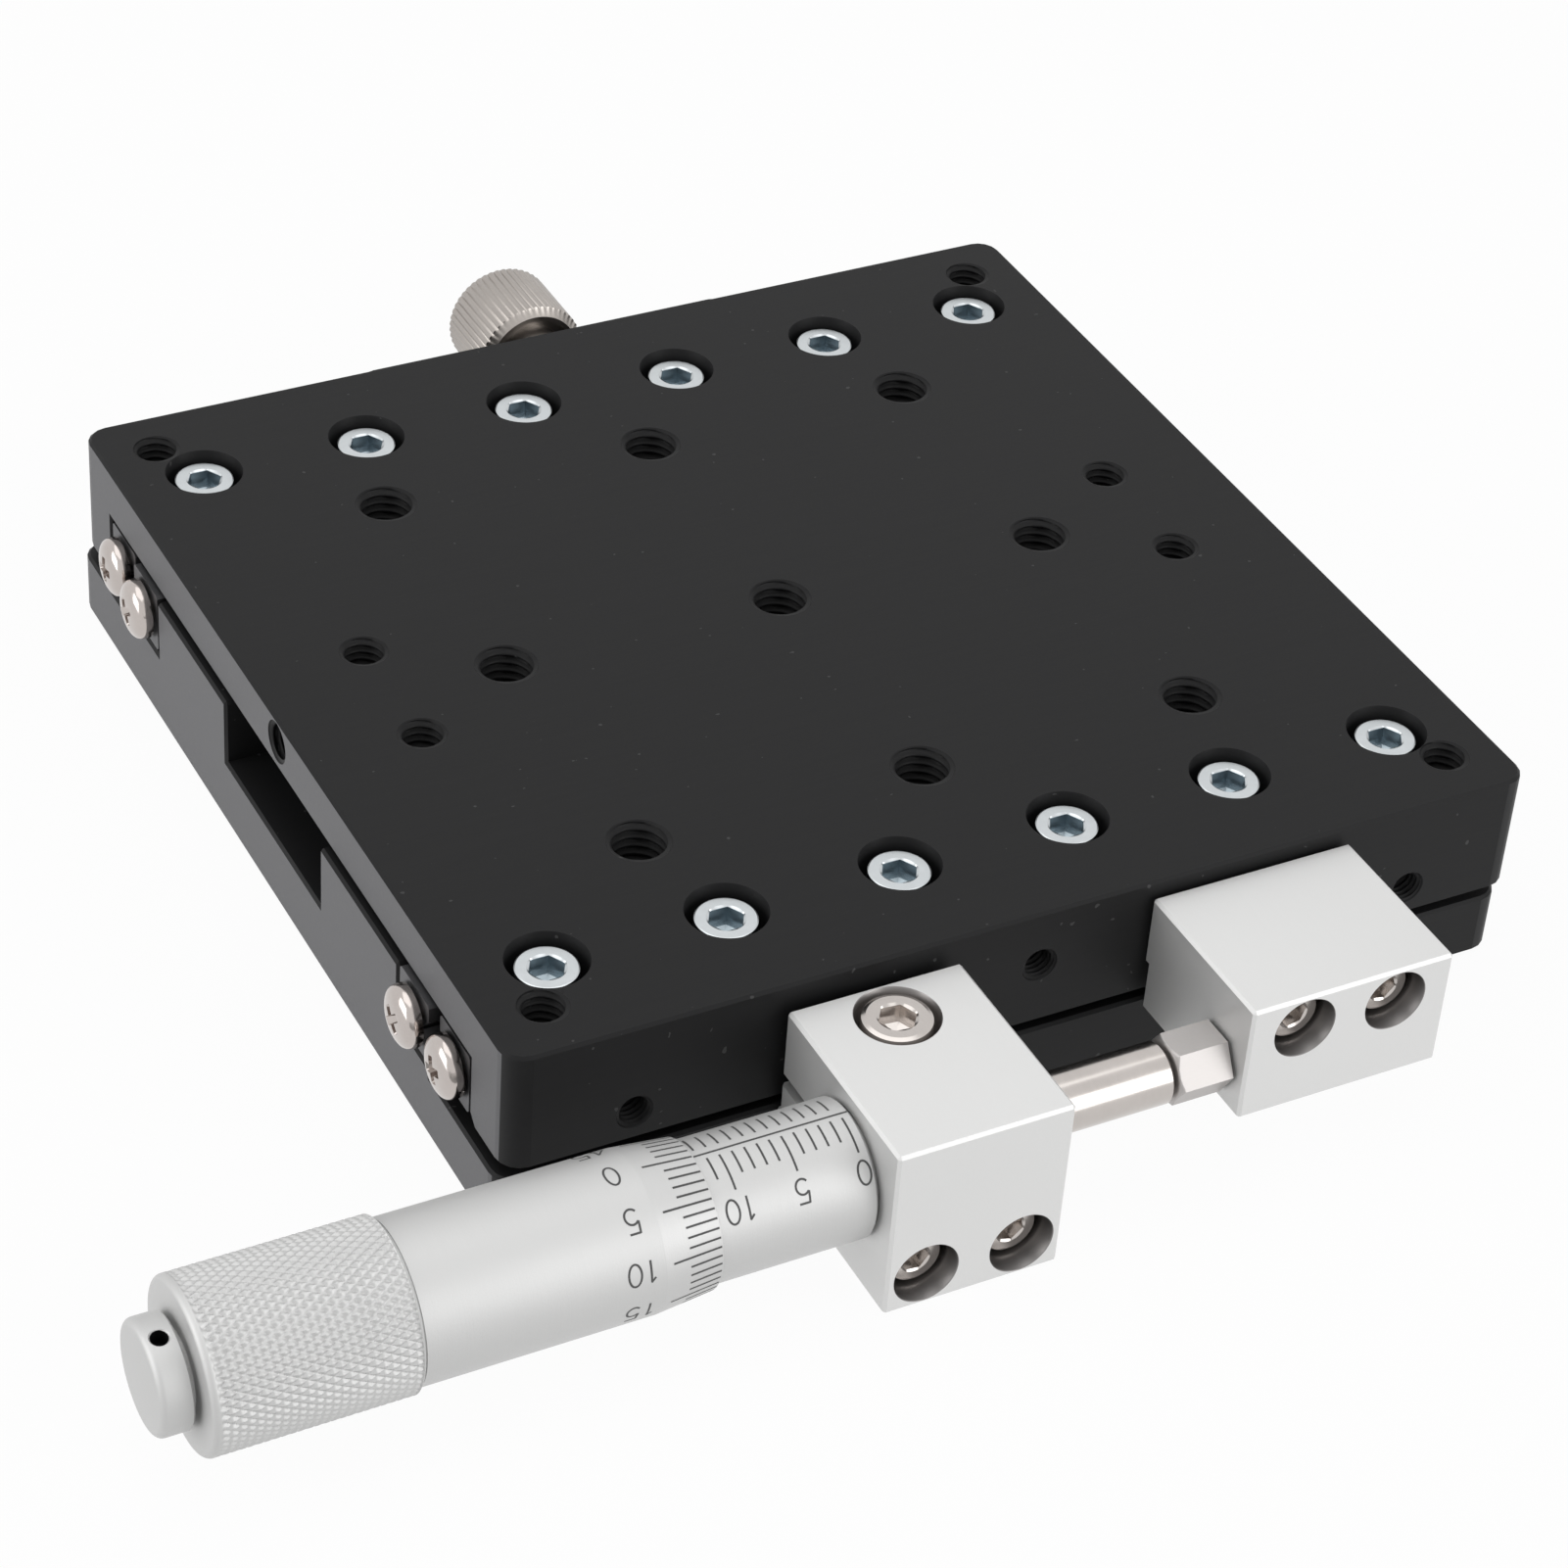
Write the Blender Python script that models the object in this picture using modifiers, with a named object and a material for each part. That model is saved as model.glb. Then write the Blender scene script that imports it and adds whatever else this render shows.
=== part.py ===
"""Crossed-roller linear translation stage with a side micrometer head.

Metres, +Z up. +X is the travel, +Y is the back, and the origin is the centre
of the base's underside. The table stands where the micrometer reads READING.
"""

import math

import bmesh
import bpy
from mathutils import Matrix, Vector

MM = 0.001

# Whole stage
STAGE_LENGTH = 90.0 * MM
STAGE_WIDTH = 90.0 * MM
STAGE_HEIGHT = 17.5 * MM
TRAVEL = 25.0 * MM
READING = 12.0 * MM

# Fits
GAP = 0.3 * MM
PASSING_GAP = 0.5 * MM
EDGE_BREAK = 0.25 * MM
WELD = 0.001 * MM
OVERCUT = 1.0 * MM

# Plates
CORNER_RADIUS = 2.0 * MM
WEB_THICKNESS = 4.75 * MM
LEG_THICKNESS = 6.7 * MM
LEG_LIFT = 0.8 * MM
LEG_CHAMFER = 1.0 * MM
SEAT_STEP = 0.9 * MM
CHANNEL_WIDTH = 20.4 * MM
CHANNEL_FLOOR = 6.2 * MM

# Table holes
GRID_PITCH = 25.0 * MM
GRID_HOLE_RADIUS = 2.35 * MM
CORNER_PITCH = 80.0 * MM
CORNER_HOLE_RADIUS = 2.0 * MM
CORNER_HOLE_DEPTH = 4.0 * MM
PAIR_PITCH_X = 70.0 * MM
PAIR_PITCH_Y = 12.0 * MM
PAIR_HOLE_RADIUS = 1.75 * MM
FRONT_HOLE_PITCH = 69.0 * MM
FRONT_HOLE_Z = 9.2 * MM
MIDDLE_HOLE_Z = 12.3 * MM
FRONT_HOLE_RADIUS = 1.35 * MM
SIDE_HOLE_RADIUS = 1.65 * MM
SIDE_HOLE_DROP = 2.2 * MM
BLIND_DEPTH = 4.0 * MM

# Base holes
FOOT_HOLE_RADIUS = 2.25 * MM
FOOT_HEAD_RADIUS = 4.0 * MM
FOOT_WALL = 1.5 * MM

# Rails, rollers and cages
RAIL_WIDTH = 5.5 * MM
RAIL_HEIGHT = 5.55 * MM
RAIL_SPACE = 1.0 * MM
RAIL_INSET = 0.1 * MM
RAIL_SCREW_PITCH = 15.0 * MM
RAIL_SCREW_COUNT = 6
RAIL_SCREW_REACH = 2.0 * MM
RELIEF_WIDTH = 0.4 * MM
RELIEF_DEPTH = 0.25 * MM
ROLLER_RADIUS = 1.0 * MM
ROLLER_LENGTH = 1.7 * MM
ROLLER_GAP = 0.2 * MM
ROLLER_PITCH = 4.0 * MM
CAGE_THICKNESS = 0.4 * MM
CAGE_HEIGHT = 4.6 * MM
CAGE_SHORTFALL = 1.9 * MM
CAGE_MARGIN = 3.0 * MM

# Rail end screws
END_HEAD_RADIUS = 2.7 * MM
END_HEAD_HEIGHT = 2.0 * MM
END_HEAD_RIM = 1.1 * MM
END_SHANK_RADIUS = 0.9 * MM
END_SHANK_LENGTH = 3.5 * MM

# Rail cap screws
CAP_HEAD_RADIUS = 2.7 * MM
CAP_HEAD_HEIGHT = 3.0 * MM
CAP_SHANK_RADIUS = 1.5 * MM
CAP_SOCKET = 2.5 * MM
CAP_SOCKET_DEPTH = 1.5 * MM
CAP_CHAMFER = 0.3 * MM
CAP_SEAT_RADIUS = 3.3 * MM
TABLE_CAP_RECESS = 0.75 * MM
BASE_CAP_RECESS = 0.4 * MM

# Block screws
BOLT_HEAD_RADIUS = 2.25 * MM
BOLT_HEAD_HEIGHT = 2.5 * MM
BOLT_SHANK_RADIUS = 1.25 * MM
BOLT_SOCKET = 2.0 * MM
BOLT_SOCKET_DEPTH = 1.2 * MM
BOLT_SEAT_RADIUS = 2.6 * MM
BOLT_RECESS = 1.7 * MM
BOLT_REACH = 5.0 * MM
BOLT_WALL = 0.45 * MM

# Clamp screw in the micrometer block
CLAMP_HEAD_RADIUS = 3.0 * MM
CLAMP_HEAD_HEIGHT = 2.5 * MM
CLAMP_SHANK_RADIUS = 1.5 * MM
CLAMP_SEAT_RADIUS = 3.25 * MM
CLAMP_RECESS = 0.1 * MM
CLAMP_REACH = 4.5 * MM
CLAMP_WALL = 0.45 * MM
CLAMP_BORE_WALL = 0.15 * MM
SLIT_HEIGHT = 1.2 * MM

# Micrometer head
SPINDLE_RADIUS = 2.5 * MM
STEM_RADIUS = 4.75 * MM
STEM_RECESS = 1.5 * MM
BARREL_RADIUS = 5.45 * MM
BARREL_CHAMFER = 0.3 * MM
ZERO_MARGIN = 0.8 * MM
BARREL_ENGAGEMENT = 8.8 * MM
THIMBLE_CLEARANCE = 0.25 * MM
THIMBLE_LIP = 0.1 * MM
THIMBLE_RADIUS = 6.25 * MM
THIMBLE_BEVEL = 4.7 * MM
THIMBLE_END_WALL = 4.4 * MM
GRIP_RADIUS = 6.65 * MM
GRIP_LENGTH = 15.7 * MM
GRIP_CHAMFER = 0.5 * MM
GRIP_END_CHAMFER = 0.8 * MM
CAVITY_SPARE = 1.0 * MM
END_CAP_RADIUS = 4.35 * MM
END_CAP_LENGTH = 2.45 * MM
END_CAP_NECK = 0.45 * MM
END_CAP_NECK_RADIUS = 3.6 * MM
END_CAP_PIN_LENGTH = 0.5 * MM
END_CAP_HOLE_RADIUS = 0.8 * MM
END_CAP_HOLE_DEPTH = 1.6 * MM
END_CAP_HOLE_LEAN = math.radians(10.0)

# Micrometer block
AXIS_Z = 9.2 * MM
MIC_BLOCK_X = -14.7 * MM
MIC_BLOCK_WIDTH = 14.8 * MM
MIC_BLOCK_FRONT_WALL = 2.05 * MM
MIC_BLOCK_TOP_WALL = 1.55 * MM
MIC_BLOCK_FOOT = 0.2 * MM
MIC_BLOCK_STEP = 0.5 * MM
MIC_BOLT_PITCH = 8.1 * MM

# Anvil block and its hexagon screw
ANVIL_BLOCK_WIDTH = 18.1 * MM
ANVIL_FRONT_WALL = 2.0 * MM
ANVIL_BOTTOM_WALL = 1.8 * MM
ANVIL_BOLT_RISE = 4.0 * MM
ANVIL_BOLT_PITCH = 8.2 * MM
ANVIL_RELIEF = 0.5 * MM
ANVIL_RELIEF_RISE = 0.7 * MM
ANVIL_ACROSS_FLATS = 5.0 * MM
ANVIL_HEAD_LENGTH = 4.6 * MM
ANVIL_HEAD_CHAMFER = 0.4 * MM
ANVIL_THREAD_RADIUS = 1.5 * MM
ANVIL_THREAD_LENGTH = 2.6 * MM
RETRACTED_GAP = 0.9 * MM

# Lock plate and knob
LOCK_Z = 12.1 * MM
PLATE_THICKNESS = 1.0 * MM
PLATE_FOOT = 0.5 * MM
PLATE_RIM = 2.1 * MM
PLATE_END = 3.7 * MM
PLATE_CORNER = 1.8 * MM
PLATE_SCREW_PITCH = 26.0 * MM
PLATE_SCREW_Z = 3.0 * MM
PLATE_SCREW_REACH = 3.0 * MM
PLATE_SCREW_HEAD_RADIUS = 2.2 * MM
PLATE_SCREW_HEAD_HEIGHT = 1.4 * MM
PLATE_SCREW_RADIUS = 1.0 * MM
KNOB_THREAD_RADIUS = 2.0 * MM
KNOB_THREAD_REACH = 5.0 * MM
KNOB_COLLAR_RADIUS = 3.0 * MM
KNOB_COLLAR_LENGTH = 2.7 * MM
KNOB_RADIUS = 5.05 * MM
KNOB_LENGTH = 8.1 * MM
KNOB_DISH_RADIUS = 3.4 * MM
KNOB_DISH_DEPTH = 0.5 * MM
KNOB_CHAMFER = 0.35 * MM

# Return spring and its posts
SPRING_RADIUS = 2.3 * MM
SPRING_WIRE_RADIUS = 0.3 * MM
SPRING_TURNS = 11
SPRING_STEPS = 7
POST_MARGIN = 9.0 * MM
POST_RADIUS = 1.25 * MM
POST_SEAT_DEPTH = 2.5 * MM
POST_CLEARANCE = 1.0 * MM

# Facets
ROUND_SIDES = 28
CAP_SIDES = 10
HOLE_SIDES = 10
SEAT_SIDES = 14
ROLLER_SIDES = 8
HIDDEN_SIDES = 8
DOME_STEPS = 2

# Places across the stage, from the table's leg inwards
SIDE_Y = STAGE_WIDTH / 2
LEG_FACE_Y = SIDE_Y - LEG_THICKNESS
TABLE_RAIL_OUTER_Y = LEG_FACE_Y - GAP
TABLE_RAIL_INNER_Y = TABLE_RAIL_OUTER_Y - RAIL_WIDTH
BASE_RAIL_OUTER_Y = TABLE_RAIL_INNER_Y - RAIL_SPACE
BASE_RAIL_INNER_Y = BASE_RAIL_OUTER_Y - RAIL_WIDTH
HUMP_Y = BASE_RAIL_INNER_Y - GAP
ROLLER_Y = (TABLE_RAIL_INNER_Y + BASE_RAIL_OUTER_Y) / 2
TABLE_SCREW_Y = (TABLE_RAIL_INNER_Y + TABLE_RAIL_OUTER_Y) / 2
BASE_SCREW_Y = (BASE_RAIL_INNER_Y + BASE_RAIL_OUTER_Y) / 2

# Heights, from the table's top down
WEB_Z = STAGE_HEIGHT - WEB_THICKNESS
RAIL_TOP_Z = WEB_Z - GAP
RAIL_FOOT_Z = RAIL_TOP_Z - RAIL_HEIGHT
RAIL_Z = (RAIL_TOP_Z + RAIL_FOOT_Z) / 2
SEAT_Z = RAIL_FOOT_Z - GAP
FLANGE_Z = SEAT_Z - SEAT_STEP
LEG_Z = FLANGE_Z + LEG_LIFT
HUMP_Z = WEB_Z - PASSING_GAP
GROOVE_DEPTH = (ROLLER_RADIUS + ROLLER_GAP) * math.sqrt(2) - RAIL_SPACE / 2
SPRING_Z = (CHANNEL_FLOOR + WEB_Z) / 2

# Places along the travel
TABLE_X = TRAVEL / 2 - READING
CAGE_X = TABLE_X / 2
END_X = STAGE_LENGTH / 2
RAIL_LENGTH = STAGE_LENGTH - 2 * RAIL_INSET
CAGE_LENGTH = RAIL_LENGTH - TRAVEL / 2 - CAGE_SHORTFALL
SPRING_BASE_X = POST_MARGIN - END_X
SPRING_TABLE_X = END_X - POST_MARGIN

# Micrometer axis, from the table's front face outwards
BORE_RADIUS = STEM_RADIUS + GAP
CLAMP_HOLE_RADIUS = CLAMP_SHANK_RADIUS + GAP
MIC_BLOCK_REAR_Y = -SIDE_Y - GAP - MIC_BLOCK_STEP
CLAMP_Y = MIC_BLOCK_REAR_Y - CLAMP_WALL - CLAMP_SEAT_RADIUS
AXIS_Y = CLAMP_Y - CLAMP_HOLE_RADIUS - CLAMP_BORE_WALL - BORE_RADIUS
MIC_BLOCK_FRONT_Y = AXIS_Y - BORE_RADIUS - MIC_BLOCK_FRONT_WALL
MIC_BLOCK_TOP_Z = AXIS_Z + BORE_RADIUS + MIC_BLOCK_TOP_WALL
MIC_BOLT_Z = MIC_BLOCK_FOOT + BOLT_WALL + BOLT_SEAT_RADIUS

# Places along the micrometer axis, in the base's frame
STEM_X = MIC_BLOCK_X + MIC_BLOCK_WIDTH / 2 - STEM_RECESS
SHOULDER_X = MIC_BLOCK_X - MIC_BLOCK_WIDTH / 2 - GAP
ZERO_X = SHOULDER_X - ZERO_MARGIN
BARREL_END_X = ZERO_X - TRAVEL - BARREL_ENGAGEMENT
THIMBLE_EDGE_X = ZERO_X - READING
CAVITY_END_X = THIMBLE_EDGE_X - TRAVEL - BARREL_ENGAGEMENT - CAVITY_SPARE
THIMBLE_END_X = CAVITY_END_X - THIMBLE_END_WALL
SPINDLE_HOLE_RADIUS = SPINDLE_RADIUS + GAP

# Anvil, in the table's frame
ANVIL_FACE_X = STEM_X + RETRACTED_GAP + TRAVEL / 2
ANVIL_BLOCK_LEFT_X = ANVIL_FACE_X + ANVIL_HEAD_LENGTH + GAP
ANVIL_BLOCK_X = ANVIL_BLOCK_LEFT_X + ANVIL_BLOCK_WIDTH / 2
ANVIL_HOLE_RADIUS = ANVIL_THREAD_RADIUS + GAP
ANVIL_FRONT_Y = AXIS_Y - ANVIL_HOLE_RADIUS - ANVIL_FRONT_WALL
ANVIL_FOOT_Z = AXIS_Z - ANVIL_HOLE_RADIUS - ANVIL_BOTTOM_WALL
ANVIL_BOLT_Z = AXIS_Z + ANVIL_BOLT_RISE
ANVIL_TOP_Z = ANVIL_BOLT_Z + BOLT_SEAT_RADIUS + BOLT_WALL

# Lock, from the base's back face outwards
PLATE_Y = SIDE_Y + GAP
COLLAR_Y = PLATE_Y + PLATE_THICKNESS + GAP
SLOT_HALF_HEIGHT = KNOB_THREAD_RADIUS + GAP
SLOT_HALF_LENGTH = TRAVEL / 2 + SLOT_HALF_HEIGHT

# Turns from a drawn outline's own axes to the stage's
OUTLINE_ALONG_X = Matrix(((0, 0, 1, 0), (1, 0, 0, 0), (0, 1, 0, 0), (0, 0, 0, 1)))
OUTLINE_ALONG_Y = Matrix(((1, 0, 0, 0), (0, 0, -1, 0), (0, 1, 0, 0), (0, 0, 0, 1)))
FACING_RIGHT = (0.0, math.radians(90.0), 0.0)
FACING_LEFT = (0.0, math.radians(-90.0), 0.0)
FACING_BACK = (math.radians(-90.0), 0.0, 0.0)
FACING_FRONT = (math.radians(90.0), 0.0, 0.0)
FACING_UP = (0.0, 0.0, 0.0)
FACING_DOWN = (math.radians(180.0), 0.0, 0.0)


def clear_scene():
    """Remove whatever the scene already holds."""
    for item in list(bpy.data.objects):
        bpy.data.objects.remove(item, do_unlink=True)


def make_collection(name):
    """Add a collection to the scene."""
    collection = bpy.data.collections.new(name)
    bpy.context.scene.collection.children.link(collection)
    return collection


def make_finish(name, colour, metallic, roughness):
    """Return a Principled material of one colour."""
    finish = bpy.data.materials.new(name)
    finish.use_nodes = True
    shader = finish.node_tree.nodes["Principled BSDF"]
    shader.inputs["Base Color"].default_value = (*colour, 1.0)
    shader.inputs["Metallic"].default_value = metallic
    shader.inputs["Roughness"].default_value = roughness
    return finish


def make_carrier(name, location, parent=None):
    """Add an empty on a joint's axis, which carries what moves with it."""
    carrier = bpy.data.objects.new(name, None)
    PARTS.objects.link(carrier)
    carrier.location = location
    carrier.parent = parent
    return carrier


def add_piece(name, mesh, finish, carrier, location=(0, 0, 0), facing=FACING_UP):
    """Place a mesh as one named sub-part."""
    piece = bpy.data.objects.new(name, mesh)
    if not mesh.materials:
        mesh.materials.append(finish)
    PARTS.objects.link(piece)
    piece.parent = carrier
    piece.location = location
    piece.rotation_euler = facing
    return piece


def to_mesh(name, form):
    """Turn a bmesh into a mesh whose faces point out."""
    bmesh.ops.recalc_face_normals(form, faces=form.faces)
    mesh = bpy.data.meshes.new(name)
    form.to_mesh(mesh)
    form.free()
    return mesh


def smooth(mesh, degrees=35.0):
    """Shade the round faces of a mesh smooth and keep its edges sharp."""
    mesh.shade_smooth()
    mesh.set_sharp_from_angle(angle=math.radians(degrees))


def evaluated_mesh(item):
    """Return a copy of an object's mesh with its modifiers carried out."""
    bpy.context.view_layer.update()
    depsgraph = bpy.context.evaluated_depsgraph_get()
    return bpy.data.meshes.new_from_object(item.evaluated_get(depsgraph))


def drawn_mesh(name, loops, depth, turn):
    """Return a flat outline, with any holes in it, given a depth and turned to the stage's axes."""
    curve = bpy.data.curves.new(name, "CURVE")
    curve.dimensions = "2D"
    curve.fill_mode = "BOTH"
    curve.extrude = depth / 2
    for loop in loops:
        spline = curve.splines.new("POLY")
        spline.points.add(len(loop) - 1)
        for point, (across, up) in zip(spline.points, loop):
            point.co = (across, up, 0.0, 1.0)
        spline.use_cyclic_u = True
    drawing = bpy.data.objects.new(name, curve)
    CUTTERS.objects.link(drawing)
    mesh = evaluated_mesh(drawing)
    bpy.data.objects.remove(drawing)
    form = bmesh.new()
    form.from_mesh(mesh)
    bmesh.ops.remove_doubles(form, verts=form.verts, dist=WELD)
    bmesh.ops.dissolve_limit(
        form, angle_limit=math.radians(1.0), verts=form.verts, edges=form.edges
    )
    bmesh.ops.transform(form, matrix=turn, verts=form.verts)
    bpy.data.meshes.remove(mesh)
    return to_mesh(name, form)


def bevel_edges(mesh, width, segments, chosen):
    """Bevel the edges of a mesh that a test picks."""
    form = bmesh.new()
    form.from_mesh(mesh)
    form.normal_update()
    edges = [edge for edge in form.edges if chosen(edge)]
    bmesh.ops.bevel(
        form,
        geom=edges,
        offset=width,
        offset_type="OFFSET",
        segments=segments,
        profile=0.5,
        affect="EDGES",
        clamp_overlap=True,
    )
    form.to_mesh(mesh)
    form.free()


def is_plate_corner(edge):
    """Tell whether an edge is one of a plate's four upright corners."""
    one, other = (vert.co for vert in edge.verts)
    upright = (one - other).xy.length < WELD
    return upright and abs(one.x) > END_X - WELD and abs(one.y) > SIDE_Y - WELD


def is_sharp(edge):
    """Tell whether an edge is an outer one with faces well apart in direction."""
    return edge.is_convex and edge.calc_face_angle(0.0) > math.radians(40.0)


def add_cone(form, start, end, radius, end_radius, sides):
    """Add a closed round bar between two points, tapered where its radii differ."""
    start = Vector(start)
    end = Vector(end)
    turn = (end - start).to_track_quat("Z", "Y").to_matrix().to_4x4()
    bmesh.ops.create_cone(
        form,
        cap_ends=True,
        segments=sides,
        radius1=radius,
        radius2=end_radius,
        depth=(end - start).length,
        matrix=Matrix.Translation((start + end) / 2) @ turn,
    )


def cut(piece, name, mesh):
    """Cut a shape, given in the carrier's frame, out of a piece."""
    cutter = bpy.data.objects.new(name, mesh)
    CUTTERS.objects.link(cutter)
    cutter.parent = piece.parent
    cutter.hide_render = True
    cutter.display_type = "WIRE"
    modifier = piece.modifiers.new(name, "BOOLEAN")
    modifier.operation = "DIFFERENCE"
    modifier.solver = "EXACT"
    modifier.object = cutter


def join(piece, name, mesh):
    """Join a shape, given in the carrier's frame, to a piece."""
    cut(piece, name, mesh)
    piece.modifiers[name].operation = "UNION"


def drill(piece, name, holes, sides=HOLE_SIDES):
    """Drill round holes, each given by its start, its end and its radius."""
    form = bmesh.new()
    for start, end, radius in holes:
        add_cone(form, start, end, radius, radius, sides)
    cut(piece, name, to_mesh(name, form))


def cut_box(piece, name, low, high):
    """Mill a box between two corners out of a piece."""
    form = bmesh.new()
    bmesh.ops.create_cube(form, size=1.0)
    size = Vector(high) - Vector(low)
    middle = (Vector(high) + Vector(low)) / 2
    place = Matrix.Translation(middle) @ Matrix.Diagonal((*size, 1.0))
    bmesh.ops.transform(form, matrix=place, verts=form.verts)
    cut(piece, name, to_mesh(name, form))


def add_turned(name, profile, finish, carrier, facing, sides=ROUND_SIDES, closed=False):
    """Turn a profile of radius and height, which runs down its outer side, about its axis."""
    mesh = bpy.data.meshes.new(name)
    points = [(radius, 0.0, height) for radius, height in profile]
    edges = [(index, index + 1) for index in range(len(points) - 1)]
    if closed:
        edges.append((len(points) - 1, 0))
    mesh.from_pydata(points, edges, [])
    piece = add_piece(name, mesh, finish, carrier, facing=facing)
    screw = piece.modifiers.new("turn", "SCREW")
    screw.steps = sides
    screw.render_steps = sides
    screw.use_merge_vertices = True
    screw.merge_threshold = WELD
    return piece


def cap_screw_mesh(name, head, shank, socket, finish, sides=CAP_SIDES):
    """Return a cap screw whose head stands on Z = 0 and whose shank points down.

    head and shank are a radius and a length, and socket is a width across flats and a depth.
    """
    head_radius, head_height = head
    shank_radius, shank_length = shank
    across_flats, depth = socket
    profile = [
        (0.0, head_height),
        (head_radius - CAP_CHAMFER, head_height),
        (head_radius, head_height - CAP_CHAMFER),
        (head_radius, 0.0),
        (shank_radius, 0.0),
        (shank_radius, -shank_length),
        (0.0, -shank_length),
    ]
    screw = add_turned(name, profile, finish, None, FACING_UP, sides)
    form = bmesh.new()
    corner_radius = across_flats / math.sqrt(3)
    start = (0.0, 0.0, head_height - depth)
    end = (0.0, 0.0, head_height + OVERCUT)
    add_cone(form, start, end, corner_radius, corner_radius, 6)
    cut(screw, name + "_socket", to_mesh(name + "_socket", form))
    return finished_mesh(screw)


def finished_mesh(piece):
    """Carry out a piece's modifiers, remove the piece and its cutters, and return the mesh."""
    mesh = evaluated_mesh(piece)
    for modifier in list(piece.modifiers):
        if modifier.type == "BOOLEAN":
            bpy.data.objects.remove(modifier.object)
    bpy.data.objects.remove(piece)
    smooth(mesh)
    return mesh


def both_ways(value):
    """Return a value and its opposite."""
    return (-value, value)


def row(count, pitch):
    """Return evenly spaced places centred on zero."""
    return [(index - (count - 1) / 2) * pitch for index in range(count)]


def arc(centre, radius, start, end, steps):
    """Return points along an arc, with its angles in degrees."""
    turns = [start + (end - start) * index / steps for index in range(steps + 1)]
    return [
        (
            centre[0] + radius * math.cos(math.radians(turn)),
            centre[1] + radius * math.sin(math.radians(turn)),
        )
        for turn in turns
    ]


def rail_screw_places(across):
    """Return the places of a plate's rail screws, given how far out they stand."""
    return [
        (along, side)
        for side in both_ways(across)
        for along in row(RAIL_SCREW_COUNT, RAIL_SCREW_PITCH)
    ]


def mirrored_outline(half):
    """Complete an outline drawn from the middle outwards on its right half."""
    return half + [(-across, up) for across, up in reversed(half)]


def finish_plate(mesh):
    """Round a plate's upright corners and break its other outer edges."""
    bevel_edges(mesh, CORNER_RADIUS, 4, is_plate_corner)
    bevel_edges(mesh, EDGE_BREAK, 1, is_sharp)
    smooth(mesh)


def make_table_plate():
    """The moving plate: a web on two legs, with its holes."""
    half = [
        (HUMP_Y, WEB_Z),
        (LEG_FACE_Y, WEB_Z),
        (LEG_FACE_Y, LEG_Z + LEG_CHAMFER),
        (LEG_FACE_Y + LEG_CHAMFER, LEG_Z),
        (SIDE_Y, LEG_Z),
        (SIDE_Y, STAGE_HEIGHT),
    ]
    mesh = drawn_mesh("table_plate", [mirrored_outline(half)], STAGE_LENGTH, OUTLINE_ALONG_X)
    finish_plate(mesh)
    plate = add_piece("table_plate", mesh, BLACK, TABLE)
    above = STAGE_HEIGHT + OVERCUT
    below = WEB_Z - OVERCUT
    seat = STAGE_HEIGHT - TABLE_CAP_RECESS - CAP_HEAD_HEIGHT
    screws = rail_screw_places(TABLE_SCREW_Y)
    drill(
        plate,
        "table_screw_seats",
        [((x, y, seat), (x, y, above), CAP_SEAT_RADIUS) for x, y in screws],
        SEAT_SIDES,
    )
    drill(
        plate,
        "table_screw_holes",
        [((x, y, below), (x, y, seat + GAP), CAP_SHANK_RADIUS + GAP) for x, y in screws],
        HIDDEN_SIDES,
    )
    tapped = [(x, y, GRID_HOLE_RADIUS) for x in row(3, GRID_PITCH) for y in row(3, GRID_PITCH)]
    tapped += [(x, y, PAIR_HOLE_RADIUS) for x in row(2, PAIR_PITCH_X) for y in row(2, PAIR_PITCH_Y)]
    holes = [((x, y, below), (x, y, above), radius) for x, y, radius in tapped]
    corner_end = STAGE_HEIGHT - CORNER_HOLE_DEPTH
    holes += [
        ((x, y, corner_end), (x, y, above), CORNER_HOLE_RADIUS)
        for x in row(2, CORNER_PITCH)
        for y in row(2, CORNER_PITCH)
    ]
    drill(plate, "table_tapped_holes", holes)
    drill_table_sides(plate)
    return plate


def drill_table_sides(plate):
    """Drill the holes in the table's front, left and back faces, and the spring post's seat."""
    front = -SIDE_Y - OVERCUT
    blind = -SIDE_Y + BLIND_DEPTH
    places = [(x, FRONT_HOLE_Z) for x in row(2, FRONT_HOLE_PITCH)] + [(0.0, MIDDLE_HOLE_Z)]
    holes = [((x, blind, z), (x, front, z), FRONT_HOLE_RADIUS) for x, z in places]
    side_z = STAGE_HEIGHT - SIDE_HOLE_DROP
    side_start = (-END_X - OVERCUT, 0.0, side_z)
    side_end = (-END_X + BLIND_DEPTH, 0.0, side_z)
    holes.append((side_start, side_end, SIDE_HOLE_RADIUS))
    bolt_end = -SIDE_Y + BOLT_REACH + GAP
    holes += [
        ((x, bolt_end, ANVIL_BOLT_Z), (x, front, ANVIL_BOLT_Z), BOLT_SHANK_RADIUS + GAP)
        for x in anvil_bolt_places()
    ]
    knob_end = SIDE_Y - KNOB_THREAD_REACH - GAP
    holes.append(((0.0, knob_end, LOCK_Z), (0.0, -front, LOCK_Z), KNOB_THREAD_RADIUS + GAP))
    post_end = WEB_Z + POST_SEAT_DEPTH + GAP
    post = ((SPRING_TABLE_X, 0.0, WEB_Z - OVERCUT), (SPRING_TABLE_X, 0.0, post_end))
    holes.append((*post, POST_RADIUS + GAP))
    drill(plate, "table_side_holes", holes)


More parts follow.
